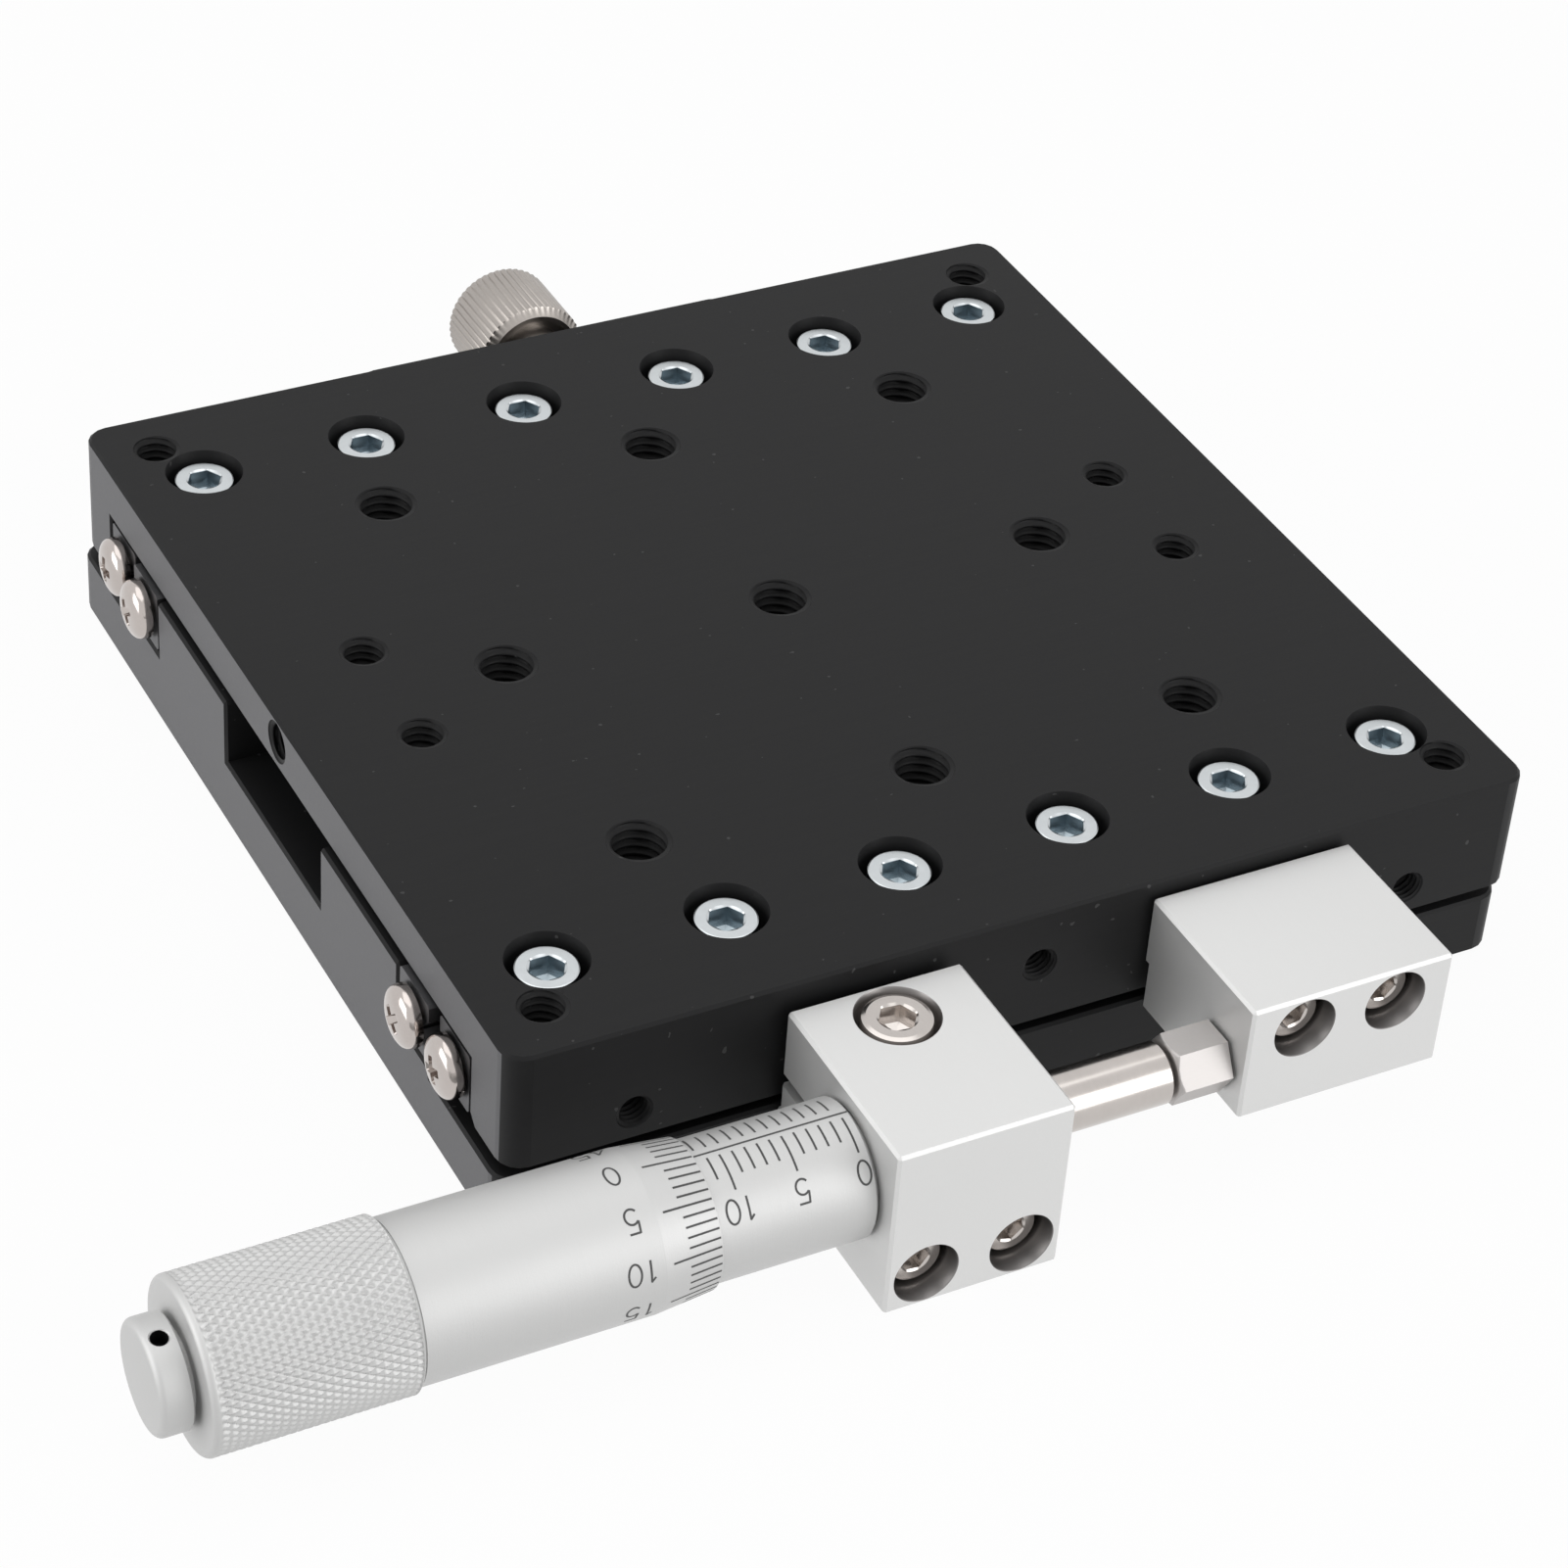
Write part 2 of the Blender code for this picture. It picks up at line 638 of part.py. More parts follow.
def make_base_plate():
    """The fixed plate: a flange, rail seats, and a hump with a channel along it."""
    half_channel = CHANNEL_WIDTH / 2
    half = [
        (half_channel, CHANNEL_FLOOR),
        (half_channel, HUMP_Z),
        (HUMP_Y, HUMP_Z),
        (HUMP_Y, SEAT_Z),
        (ROLLER_Y, SEAT_Z),
        (ROLLER_Y, FLANGE_Z),
        (SIDE_Y, FLANGE_Z),
        (SIDE_Y, 0.0),
    ]
    mesh = drawn_mesh("base_plate", [mirrored_outline(half)], STAGE_LENGTH, OUTLINE_ALONG_X)
    finish_plate(mesh)
    plate = add_piece("base_plate", mesh, BLACK, BASE)
    seat = BASE_CAP_RECESS + CAP_HEAD_HEIGHT
    screws = rail_screw_places(BASE_SCREW_Y)
    drill(
        plate,
        "base_screw_seats",
        [((x, y, seat), (x, y, -OVERCUT), CAP_SEAT_RADIUS) for x, y in screws],
    )
    holes = [
        ((x, y, seat - GAP), (x, y, SEAT_Z + OVERCUT), CAP_SHANK_RADIUS + GAP) for x, y in screws
    ]
    drill(plate, "base_screw_holes", holes, HIDDEN_SIDES)
    feet = [(x, y) for x in row(2, CORNER_PITCH) for y in row(2, CORNER_PITCH)]
    drill(
        plate,
        "base_foot_holes",
        [((x, y, -OVERCUT), (x, y, FLANGE_Z), FOOT_HOLE_RADIUS) for x, y in feet],
    )
    drill(
        plate,
        "base_foot_seats",
        [((x, y, FOOT_WALL), (x, y, FLANGE_Z + OVERCUT), FOOT_HEAD_RADIUS) for x, y in feet],
        SEAT_SIDES,
    )
    drill_base_sides(plate)
    return plate


def drill_base_sides(plate):
    """Drill the screw holes in the base's front and back faces, and the spring post's seat."""
    front = -SIDE_Y - OVERCUT
    bolt_end = -SIDE_Y + BOLT_REACH + GAP
    holes = [
        ((x, bolt_end, MIC_BOLT_Z), (x, front, MIC_BOLT_Z), BOLT_SHANK_RADIUS + GAP)
        for x in mic_bolt_places()
    ]
    plate_end = SIDE_Y - PLATE_SCREW_REACH - GAP
    holes += [
        ((x, plate_end, PLATE_SCREW_Z), (x, -front, PLATE_SCREW_Z), PLATE_SCREW_RADIUS + GAP)
        for x in row(2, PLATE_SCREW_PITCH)
    ]
    post_end = CHANNEL_FLOOR - POST_SEAT_DEPTH - GAP
    post = ((SPRING_BASE_X, 0.0, post_end), (SPRING_BASE_X, 0.0, CHANNEL_FLOOR + OVERCUT))
    holes.append((*post, POST_RADIUS + GAP))
    drill(plate, "base_side_holes", holes)


def rail_outline(back_y, groove_y):
    """Return a rail's outline: flat at back_y, with a right-angled groove in its face at groove_y."""
    inwards = math.copysign(1.0, back_y - groove_y)
    half_relief = RELIEF_WIDTH / 2
    relief_y = groove_y + inwards * (GROOVE_DEPTH - half_relief)
    relief_end_y = relief_y + inwards * RELIEF_DEPTH
    return [
        (back_y, RAIL_FOOT_Z),
        (back_y, RAIL_TOP_Z),
        (groove_y, RAIL_TOP_Z),
        (groove_y, RAIL_Z + GROOVE_DEPTH),
        (relief_y, RAIL_Z + half_relief),
        (relief_end_y, RAIL_Z + half_relief),
        (relief_end_y, RAIL_Z - half_relief),
        (relief_y, RAIL_Z - half_relief),
        (groove_y, RAIL_Z - GROOVE_DEPTH),
        (groove_y, RAIL_FOOT_Z),
    ]


def is_rail_corner(edge):
    """Tell whether an edge is one of a rail's four long outer corners."""
    one, other = (vert.co for vert in edge.verts)
    along = (one - other).yz.length < WELD
    return along and abs(abs(one.z - RAIL_Z) - RAIL_HEIGHT / 2) < WELD


def make_rail(name, carrier, back_y, groove_y, screw_top, screw_foot):
    """A hardened rail with its groove, its screw holes and the tapped holes in its ends."""
    outline = rail_outline(back_y, groove_y)
    mesh = drawn_mesh(name, [outline], RAIL_LENGTH, OUTLINE_ALONG_X)
    bevel_edges(mesh, EDGE_BREAK, 1, is_rail_corner)
    smooth(mesh)
    rail = add_piece(name, mesh, STEEL, carrier)
    middle_y = (back_y + groove_y) / 2
    holes = [
        ((x, middle_y, screw_foot), (x, middle_y, screw_top), CAP_SHANK_RADIUS + GAP)
        for x in row(RAIL_SCREW_COUNT, RAIL_SCREW_PITCH)
    ]
    drill(rail, name + "_holes", holes, HIDDEN_SIDES)
    end = RAIL_LENGTH / 2
    depth = END_SHANK_LENGTH + GAP
    ends = [
        (
            (side * (end - depth), middle_y, RAIL_Z),
            (side * (end + OVERCUT), middle_y, RAIL_Z),
            END_SHANK_RADIUS + GAP,
        )
        for side in both_ways(1)
    ]
    drill(rail, name + "_end_holes", ends, HIDDEN_SIDES)


def make_rails():
    """The four rails: the outer pair under the table, the inner pair on the base."""
    upper_hole = (RAIL_TOP_Z + OVERCUT, RAIL_TOP_Z - RAIL_SCREW_REACH - GAP)
    lower_hole = (RAIL_FOOT_Z + RAIL_SCREW_REACH + GAP, RAIL_FOOT_Z - OVERCUT)
    for where, side in (("front", -1), ("rear", 1)):
        make_rail(
            "table_rail_" + where,
            TABLE,
            side * TABLE_RAIL_OUTER_Y,
            side * TABLE_RAIL_INNER_Y,
            *upper_hole,
        )
        make_rail(
            "base_rail_" + where,
            BASE,
            side * BASE_RAIL_INNER_Y,
            side * BASE_RAIL_OUTER_Y,
            *lower_hole,
        )


def make_rail_screws():
    """The cap screws that hold the rails, from above in the table and from below in the base."""
    head = (CAP_HEAD_RADIUS, CAP_HEAD_HEIGHT - GAP)
    socket = (CAP_SOCKET, CAP_SOCKET_DEPTH)
    table_seat = STAGE_HEIGHT - TABLE_CAP_RECESS - CAP_HEAD_HEIGHT + GAP
    table_shank = table_seat - (RAIL_TOP_Z - RAIL_SCREW_REACH)
    upper = cap_screw_mesh(
        "table_rail_screw", head, (CAP_SHANK_RADIUS, table_shank), socket, ZINC
    )
    base_seat = BASE_CAP_RECESS + CAP_HEAD_HEIGHT - GAP
    base_shank = RAIL_FOOT_Z + RAIL_SCREW_REACH - base_seat
    lower = cap_screw_mesh(
        "base_rail_screw", head, (CAP_SHANK_RADIUS, base_shank), socket, ZINC, HIDDEN_SIDES
    )
    for number, (x, y) in enumerate(rail_screw_places(TABLE_SCREW_Y), 1):
        name = f"table_rail_screw_{number:02d}"
        add_piece(name, upper, ZINC, TABLE, (x, y, table_seat))
    for number, (x, y) in enumerate(rail_screw_places(BASE_SCREW_Y), 1):
        name = f"base_rail_screw_{number:02d}"
        add_piece(name, lower, ZINC, BASE, (x, y, base_seat), FACING_DOWN)


def pan_screw_mesh():
    """Return a rail end screw, its domed head standing on Z = 0."""
    dome = END_HEAD_HEIGHT - END_HEAD_RIM
    profile = [(0.0, END_HEAD_HEIGHT)]
    for step in range(1, DOME_STEPS + 1):
        turn = math.radians(90.0 * step / DOME_STEPS)
        profile.append(
            (END_HEAD_RADIUS * math.sin(turn), END_HEAD_RIM + dome * math.cos(turn))
        )
    profile += [
        (END_HEAD_RADIUS, 0.0),
        (END_SHANK_RADIUS, 0.0),
        (END_SHANK_RADIUS, -END_SHANK_LENGTH),
        (0.0, -END_SHANK_LENGTH),
    ]
    return finished_mesh(add_turned("end_screw", profile, NICKEL, None, FACING_UP, CAP_SIDES))


def make_rail_end_screws():
    """The pan head screws in the rails' ends, which keep the cages in."""
    mesh = pan_screw_mesh()
    reach = RAIL_LENGTH / 2 + GAP
    ends = (("left", -reach, FACING_LEFT), ("right", reach, FACING_RIGHT))
    sides = (("front", -1), ("rear", 1))
    rails = (("table", TABLE, TABLE_SCREW_Y), ("base", BASE, BASE_SCREW_Y))
    for plate, carrier, across in rails:
        for end, x, facing in ends:
            for where, side in sides:
                name = f"{plate}_rail_end_screw_{end}_{where}"
                add_piece(name, mesh, NICKEL, carrier, (x, side * across, RAIL_Z), facing)


def make_cage(name, side):
    """A thin strip with crossed rollers, each turned a right angle to the next."""
    y = side * ROLLER_Y
    strip = bmesh.new()
    bmesh.ops.create_cube(strip, size=1.0)
    place = Matrix.Translation((0.0, y, RAIL_Z))
    size = Matrix.Diagonal((CAGE_LENGTH, CAGE_THICKNESS, CAGE_HEIGHT, 1.0))
    bmesh.ops.transform(strip, matrix=place @ size, verts=strip.verts)
    cage = add_piece(name, to_mesh(name, strip), BRASS, CAGES)
    rollers = bmesh.new()
    count = int((CAGE_LENGTH - 2 * CAGE_MARGIN) / ROLLER_PITCH + WELD) + 1
    reach = ROLLER_LENGTH / 2 / math.sqrt(2)
    for number, x in enumerate(row(count, ROLLER_PITCH)):
        lean = reach if number % 2 else -reach
        start = (x, y - lean, RAIL_Z - reach)
        end = (x, y + lean, RAIL_Z + reach)
        add_cone(rollers, start, end, ROLLER_RADIUS, ROLLER_RADIUS, ROLLER_SIDES)
    join(cage, name + "_rollers", to_mesh(name + "_rollers", rollers))


def mic_bolt_places():
    """Return where the micrometer block's two screws stand along the travel."""
    return [MIC_BLOCK_X + place for place in row(2, MIC_BOLT_PITCH)]


def anvil_bolt_places():
    """Return where the anvil block's two screws stand along the travel."""
    return [ANVIL_BLOCK_X + place for place in row(2, ANVIL_BOLT_PITCH)]


def drill_bolt_holes(block, name, places, front_y, back_y, z):
    """Drill a block's two counterbored screw holes from its front face."""
    seat = front_y + BOLT_RECESS + BOLT_HEAD_HEIGHT
    seats = [((x, seat, z), (x, front_y - OVERCUT, z), BOLT_SEAT_RADIUS) for x in places]
    drill(block, name + "_seats", seats, SEAT_SIDES)
    radius = BOLT_SHANK_RADIUS + GAP
    holes = [((x, seat - GAP, z), (x, back_y + OVERCUT, z), radius) for x in places]
    drill(block, name + "_holes", holes)


def make_micrometer_block():
    """The split clamp block on the base's front face."""
    low_rear = -SIDE_Y - GAP
    step_z = FLANGE_Z + GAP
    outline = [
        (MIC_BLOCK_FRONT_Y, MIC_BLOCK_FOOT),
        (low_rear, MIC_BLOCK_FOOT),
        (low_rear, step_z),
        (MIC_BLOCK_REAR_Y, step_z),
        (MIC_BLOCK_REAR_Y, MIC_BLOCK_TOP_Z),
        (MIC_BLOCK_FRONT_Y, MIC_BLOCK_TOP_Z),
    ]
    mesh = drawn_mesh("micrometer_block", [outline], MIC_BLOCK_WIDTH, OUTLINE_ALONG_X)
    bevel_edges(mesh, EDGE_BREAK, 1, is_sharp)
    mesh.transform(Matrix.Translation((MIC_BLOCK_X, 0.0, 0.0)))
    smooth(mesh)
    block = add_piece("micrometer_block", mesh, SATIN, BASE)
    half_width = MIC_BLOCK_WIDTH / 2 + OVERCUT
    left = MIC_BLOCK_X - half_width
    right = MIC_BLOCK_X + half_width
    bore = ((left, AXIS_Y, AXIS_Z), (right, AXIS_Y, AXIS_Z), BORE_RADIUS)
    drill(block, "micrometer_bore", [bore], ROUND_SIDES)
    slit_low = (left, AXIS_Y, AXIS_Z - SLIT_HEIGHT / 2)
    slit_high = (right, low_rear + OVERCUT, AXIS_Z + SLIT_HEIGHT / 2)
    cut_box(block, "clamp_slit", slit_low, slit_high)
    seat_z = MIC_BLOCK_TOP_Z - CLAMP_RECESS - CLAMP_HEAD_HEIGHT
    above = MIC_BLOCK_TOP_Z + OVERCUT
    seat = ((MIC_BLOCK_X, CLAMP_Y, seat_z), (MIC_BLOCK_X, CLAMP_Y, above), CLAMP_SEAT_RADIUS)
    drill(block, "clamp_screw_seat", [seat], SEAT_SIDES)
    hole_end = AXIS_Z - CLAMP_REACH - GAP
    hole_start = (MIC_BLOCK_X, CLAMP_Y, seat_z + GAP)
    hole = (hole_start, (MIC_BLOCK_X, CLAMP_Y, hole_end), CLAMP_HOLE_RADIUS)
    drill(block, "clamp_screw_hole", [hole])
    places = mic_bolt_places()
    drill_bolt_holes(block, "mic_bolt", places, MIC_BLOCK_FRONT_Y, low_rear, MIC_BOLT_Z)
    make_clamp_screw(seat_z + GAP)


def make_clamp_screw(seat_z):
    """The screw that closes the slit on the micrometer's stem."""
    shank = (CLAMP_SHANK_RADIUS, seat_z - (AXIS_Z - CLAMP_REACH))
    head = (CLAMP_HEAD_RADIUS, CLAMP_HEAD_HEIGHT - GAP)
    mesh = cap_screw_mesh(
        "clamp_screw", head, shank, (CAP_SOCKET, CAP_SOCKET_DEPTH), STAINLESS, SEAT_SIDES
    )
    add_piece("micrometer_clamp_screw", mesh, STAINLESS, BASE, (MIC_BLOCK_X, CLAMP_Y, seat_z))


def make_anvil_block():
    """The block on the table's front face that carries the anvil screw."""
    rear = -SIDE_Y - GAP
    relief_y = rear - ANVIL_RELIEF
    relief_z = AXIS_Z + ANVIL_RELIEF_RISE
    outline = [
        (ANVIL_FRONT_Y, ANVIL_FOOT_Z),
        (relief_y, ANVIL_FOOT_Z),
        (relief_y, relief_z),
        (rear, relief_z),
        (rear, ANVIL_TOP_Z),
        (ANVIL_FRONT_Y, ANVIL_TOP_Z),
    ]
    mesh = drawn_mesh("anvil_block", [outline], ANVIL_BLOCK_WIDTH, OUTLINE_ALONG_X)
    bevel_edges(mesh, EDGE_BREAK, 1, is_sharp)
    mesh.transform(Matrix.Translation((ANVIL_BLOCK_X, 0.0, 0.0)))
    smooth(mesh)
    block = add_piece("anvil_block", mesh, SATIN, TABLE)
    hole_end = ANVIL_BLOCK_LEFT_X + ANVIL_THREAD_LENGTH + GAP
    hole_start = (ANVIL_BLOCK_LEFT_X - OVERCUT, AXIS_Y, AXIS_Z)
    hole = (hole_start, (hole_end, AXIS_Y, AXIS_Z), ANVIL_HOLE_RADIUS)
    drill(block, "anvil_hole", [hole], HIDDEN_SIDES)
    drill_bolt_holes(block, "anvil_bolt", anvil_bolt_places(), ANVIL_FRONT_Y, rear, ANVIL_BOLT_Z)


def is_anvil_rim(edge):
    """Tell whether an edge lies round the face that the spindle pushes."""
    return all(vert.co.x < ANVIL_FACE_X + WELD for vert in edge.verts)


def make_anvil_screw():
    """The hexagon screw that the spindle pushes, with its face chamfered."""
    corner_radius = ANVIL_ACROSS_FLATS / math.sqrt(3)
    head_end = ANVIL_FACE_X + ANVIL_HEAD_LENGTH
    form = bmesh.new()
    start = (ANVIL_FACE_X, AXIS_Y, AXIS_Z)
    end = (head_end, AXIS_Y, AXIS_Z)
    add_cone(form, start, end, corner_radius, corner_radius, 6)
    mesh = to_mesh("anvil_screw", form)
    turn = Matrix.Translation(start) @ Matrix.Rotation(math.radians(30.0), 4, "X")
    mesh.transform(turn @ Matrix.Translation(-Vector(start)))
    bevel_edges(mesh, ANVIL_HEAD_CHAMFER, 1, is_anvil_rim)
    screw = add_piece("anvil_screw", mesh, STAINLESS, TABLE)
    thread = bmesh.new()
    thread_start = (head_end - GAP, AXIS_Y, AXIS_Z)
    thread_end = (ANVIL_BLOCK_LEFT_X + ANVIL_THREAD_LENGTH, AXIS_Y, AXIS_Z)
    radius = ANVIL_THREAD_RADIUS
    add_cone(thread, thread_start, thread_end, radius, radius, HIDDEN_SIDES)
    join(screw, "anvil_thread", to_mesh("anvil_thread", thread))


def make_block_screws():
    """The cap screws that hold the two blocks to their plates."""
    head = (BOLT_HEAD_RADIUS, BOLT_HEAD_HEIGHT - GAP)
    socket = (BOLT_SOCKET, BOLT_SOCKET_DEPTH)
    blocks = (
        ("micrometer_block_screw", BASE, MIC_BLOCK_FRONT_Y, MIC_BOLT_Z, mic_bolt_places()),
        ("anvil_block_screw", TABLE, ANVIL_FRONT_Y, ANVIL_BOLT_Z, anvil_bolt_places()),
    )
    for label, carrier, front_y, z, places in blocks:
        seat_y = front_y + BOLT_RECESS + BOLT_HEAD_HEIGHT - GAP
        shank = (BOLT_SHANK_RADIUS, -SIDE_Y + BOLT_REACH - seat_y)
        mesh = cap_screw_mesh(label, head, shank, socket, STAINLESS)
        for end, x in zip(("left", "right"), places):
            add_piece(f"{label}_{end}", mesh, STAINLESS, carrier, (x, seat_y, z), FACING_FRONT)


def make_sleeve():
    """The micrometer's fixed sleeve: a stem in the block and a barrel that carries the scale."""
    profile = [
        (SPINDLE_HOLE_RADIUS, STEM_X),
        (STEM_RADIUS - BARREL_CHAMFER, STEM_X),
        (STEM_RADIUS, STEM_X - BARREL_CHAMFER),
        (STEM_RADIUS, SHOULDER_X),
        (BARREL_RADIUS, SHOULDER_X),
        (BARREL_RADIUS, BARREL_END_X + BARREL_CHAMFER),
        (BARREL_RADIUS - BARREL_CHAMFER, BARREL_END_X),
        (SPINDLE_HOLE_RADIUS, BARREL_END_X),
    ]
    sleeve = add_turned(
        "micrometer_sleeve", profile, SATIN, MIC_AXIS, FACING_RIGHT, closed=True
    )
    smooth(sleeve.data)


def make_thimble():
    """The micrometer's thimble: a bevelled edge, a plain body and a grip over the barrel."""
    cavity = BARREL_RADIUS + THIMBLE_CLEARANCE
    grip_x = THIMBLE_END_X + GRIP_LENGTH
    profile = [
        (cavity, THIMBLE_EDGE_X),
        (cavity + THIMBLE_LIP, THIMBLE_EDGE_X),
        (THIMBLE_RADIUS, THIMBLE_EDGE_X - THIMBLE_BEVEL),
        (THIMBLE_RADIUS, grip_x),
        (GRIP_RADIUS - GRIP_CHAMFER / 2, grip_x),
        (GRIP_RADIUS, grip_x - GRIP_CHAMFER),
        (GRIP_RADIUS, THIMBLE_END_X + GRIP_END_CHAMFER),
        (GRIP_RADIUS - GRIP_END_CHAMFER, THIMBLE_END_X),
        (SPINDLE_HOLE_RADIUS, THIMBLE_END_X),
        (SPINDLE_HOLE_RADIUS, CAVITY_END_X),
        (cavity, CAVITY_END_X),
    ]
    add_turned("micrometer_thimble", profile, SATIN, MIC_AXIS, FACING_RIGHT, closed=True)


def make_spindle():
    """The spindle that pushes the anvil screw."""
    tip = TABLE_X + ANVIL_FACE_X - GAP
    tail = THIMBLE_END_X + END_CAP_PIN_LENGTH
    profile = [
        (0.0, tip),
        (SPINDLE_RADIUS - BARREL_CHAMFER, tip),
        (SPINDLE_RADIUS, tip - BARREL_CHAMFER),
        (SPINDLE_RADIUS, tail),
        (0.0, tail),
    ]
    add_turned("micrometer_spindle", profile, STAINLESS, MIC_AXIS, FACING_RIGHT, SEAT_SIDES)


def make_end_cap():
    """The cap that holds the thimble on the spindle, with a small hole for a pin wrench."""
    neck_x = THIMBLE_END_X - GAP
    back_x = THIMBLE_END_X - END_CAP_NECK
    end_x = back_x - END_CAP_LENGTH
    profile = [
        (0.0, THIMBLE_END_X + END_CAP_PIN_LENGTH - GAP),
        (SPINDLE_RADIUS, THIMBLE_END_X + END_CAP_PIN_LENGTH - GAP),
        (SPINDLE_RADIUS, neck_x),
        (END_CAP_NECK_RADIUS, neck_x),
        (END_CAP_NECK_RADIUS, back_x),
        (END_CAP_RADIUS - BARREL_CHAMFER, back_x),
        (END_CAP_RADIUS, back_x - BARREL_CHAMFER),
        (END_CAP_RADIUS, end_x + GRIP_CHAMFER),
        (END_CAP_RADIUS - GRIP_CHAMFER, end_x),
        (0.0, end_x),
    ]
    cap = add_turned("micrometer_end_cap", profile, SATIN, MIC_AXIS, FACING_RIGHT)
    middle = (back_x + end_x) / 2
    outwards = Vector((0.0, -math.sin(END_CAP_HOLE_LEAN), math.cos(END_CAP_HOLE_LEAN)))
    start = Vector((middle, 0.0, 0.0)) + outwards * (END_CAP_RADIUS - END_CAP_HOLE_DEPTH)
    end = Vector((middle, 0.0, 0.0)) + outwards * (END_CAP_RADIUS + OVERCUT)
    drill(cap, "end_cap_hole", [(start, end, END_CAP_HOLE_RADIUS)], HIDDEN_SIDES)


def make_lock_plate():
    """The slotted plate on the base's back face, which the knob clamps against."""
    half_width = SLOT_HALF_LENGTH + PLATE_END
    top = LOCK_Z + SLOT_HALF_HEIGHT + PLATE_RIM
    corner = (half_width - PLATE_CORNER, top - PLATE_CORNER)
    right = arc(corner, PLATE_CORNER, 0.0, 90.0, 5)
    outline = mirrored_outline([(half_width, PLATE_FOOT)] + right)
    turn_centre = SLOT_HALF_LENGTH - SLOT_HALF_HEIGHT
    slot = arc((turn_centre, LOCK_Z), SLOT_HALF_HEIGHT, -90.0, 90.0, 8)
    slot += arc((-turn_centre, LOCK_Z), SLOT_HALF_HEIGHT, 90.0, 270.0, 8)
    mesh = drawn_mesh("lock_plate", [outline, slot], PLATE_THICKNESS, OUTLINE_ALONG_Y)
    mesh.transform(Matrix.Translation((0.0, PLATE_Y + PLATE_THICKNESS / 2, 0.0)))
    smooth(mesh)
    plate = add_piece("lock_plate", mesh, BLACK, BASE)
    back = PLATE_Y + PLATE_THICKNESS + OVERCUT
    holes = [
        ((x, SIDE_Y, PLATE_SCREW_Z), (x, back, PLATE_SCREW_Z), PLATE_SCREW_RADIUS + GAP)
        for x in row(2, PLATE_SCREW_PITCH)
    ]
    drill(plate, "lock_plate_holes", holes)


def make_lock_plate_screws():
    """The two low-head screws that hold the lock plate."""
    head_y = PLATE_Y + PLATE_THICKNESS + GAP
    shank = (PLATE_SCREW_RADIUS, head_y - (SIDE_Y - PLATE_SCREW_REACH))
    head = (PLATE_SCREW_HEAD_RADIUS, PLATE_SCREW_HEAD_HEIGHT)
    socket = (BOLT_SOCKET, PLATE_SCREW_HEAD_HEIGHT / 2)
    mesh = cap_screw_mesh("lock_plate_screw", head, shank, socket, STAINLESS)
    for end, x in zip(("left", "right"), row(2, PLATE_SCREW_PITCH)):
        place = (x, head_y, PLATE_SCREW_Z)
        add_piece("lock_plate_screw_" + end, mesh, STAINLESS, BASE, place, FACING_BACK)


def make_lock_knob():
    """The knurled screw that locks the table: thread, collar and head."""
    collar_y = COLLAR_Y - SIDE_Y
    head_y = collar_y + KNOB_COLLAR_LENGTH
    end_y = head_y + KNOB_LENGTH
    profile = [
        (0.0, end_y - KNOB_DISH_DEPTH),
        (KNOB_DISH_RADIUS, end_y - KNOB_DISH_DEPTH),
        (KNOB_DISH_RADIUS + KNOB_DISH_DEPTH, end_y),
        (KNOB_RADIUS - KNOB_CHAMFER, end_y),
        (KNOB_RADIUS, end_y - KNOB_CHAMFER),
        (KNOB_RADIUS, head_y + KNOB_CHAMFER),
        (KNOB_RADIUS - KNOB_CHAMFER, head_y),
        (KNOB_COLLAR_RADIUS, head_y),
        (KNOB_COLLAR_RADIUS, collar_y),
        (KNOB_THREAD_RADIUS, collar_y),
        (KNOB_THREAD_RADIUS, -KNOB_THREAD_REACH),
        (0.0, -KNOB_THREAD_REACH),
    ]
    add_turned("lock_knob", profile, STAINLESS, LOCK_AXIS, FACING_BACK)


def make_spring_posts():
    """The two pins that the return spring hooks on."""
    foot = CHANNEL_FLOOR - POST_SEAT_DEPTH
    top = WEB_Z + POST_SEAT_DEPTH
    posts = (
        ("spring_post_base", BASE, SPRING_BASE_X, HUMP_Z - POST_CLEARANCE, foot),
        ("spring_post_table", TABLE, SPRING_TABLE_X, top, CHANNEL_FLOOR + POST_CLEARANCE),
    )
    for name, carrier, x, high, low in posts:
        profile = [(0.0, high), (POST_RADIUS, high), (POST_RADIUS, low), (0.0, low)]
        post = add_turned(name, profile, STEEL, carrier, FACING_UP, HIDDEN_SIDES)
        post.location.x = x


def spring_points():
    """Return the wire's path: a hook round each post and a helix that swells between them."""
    hook = POST_RADIUS + GAP + SPRING_WIRE_RADIUS
    table_post = TABLE_X + SPRING_TABLE_X
    start = SPRING_BASE_X + hook
    end = table_post - hook
    hook_steps = 8
    open_turn = 50.0
    points = [
        (SPRING_BASE_X + across, along, SPRING_Z)
        for across, along in arc((0.0, 0.0), hook, open_turn, 360.0, hook_steps)[:-1]
    ]
    count = SPRING_TURNS * SPRING_STEPS
    for step in range(count + 1):
        share = step / count
        ramp = min(1.0, share * SPRING_TURNS / 1.2, (1.0 - share) * SPRING_TURNS / 1.2)
        radius = SPRING_RADIUS * math.sin(ramp * math.pi / 2)
        turn = 2.0 * math.pi * SPRING_TURNS * share
        x = start + (end - start) * share
        points.append((x, radius * math.sin(turn), SPRING_Z + radius * math.cos(turn)))
    points += [
        (table_post + across, along, SPRING_Z)
        for across, along in arc((0.0, 0.0), hook, 180.0, 540.0 - open_turn, hook_steps)[1:]
    ]
    return points


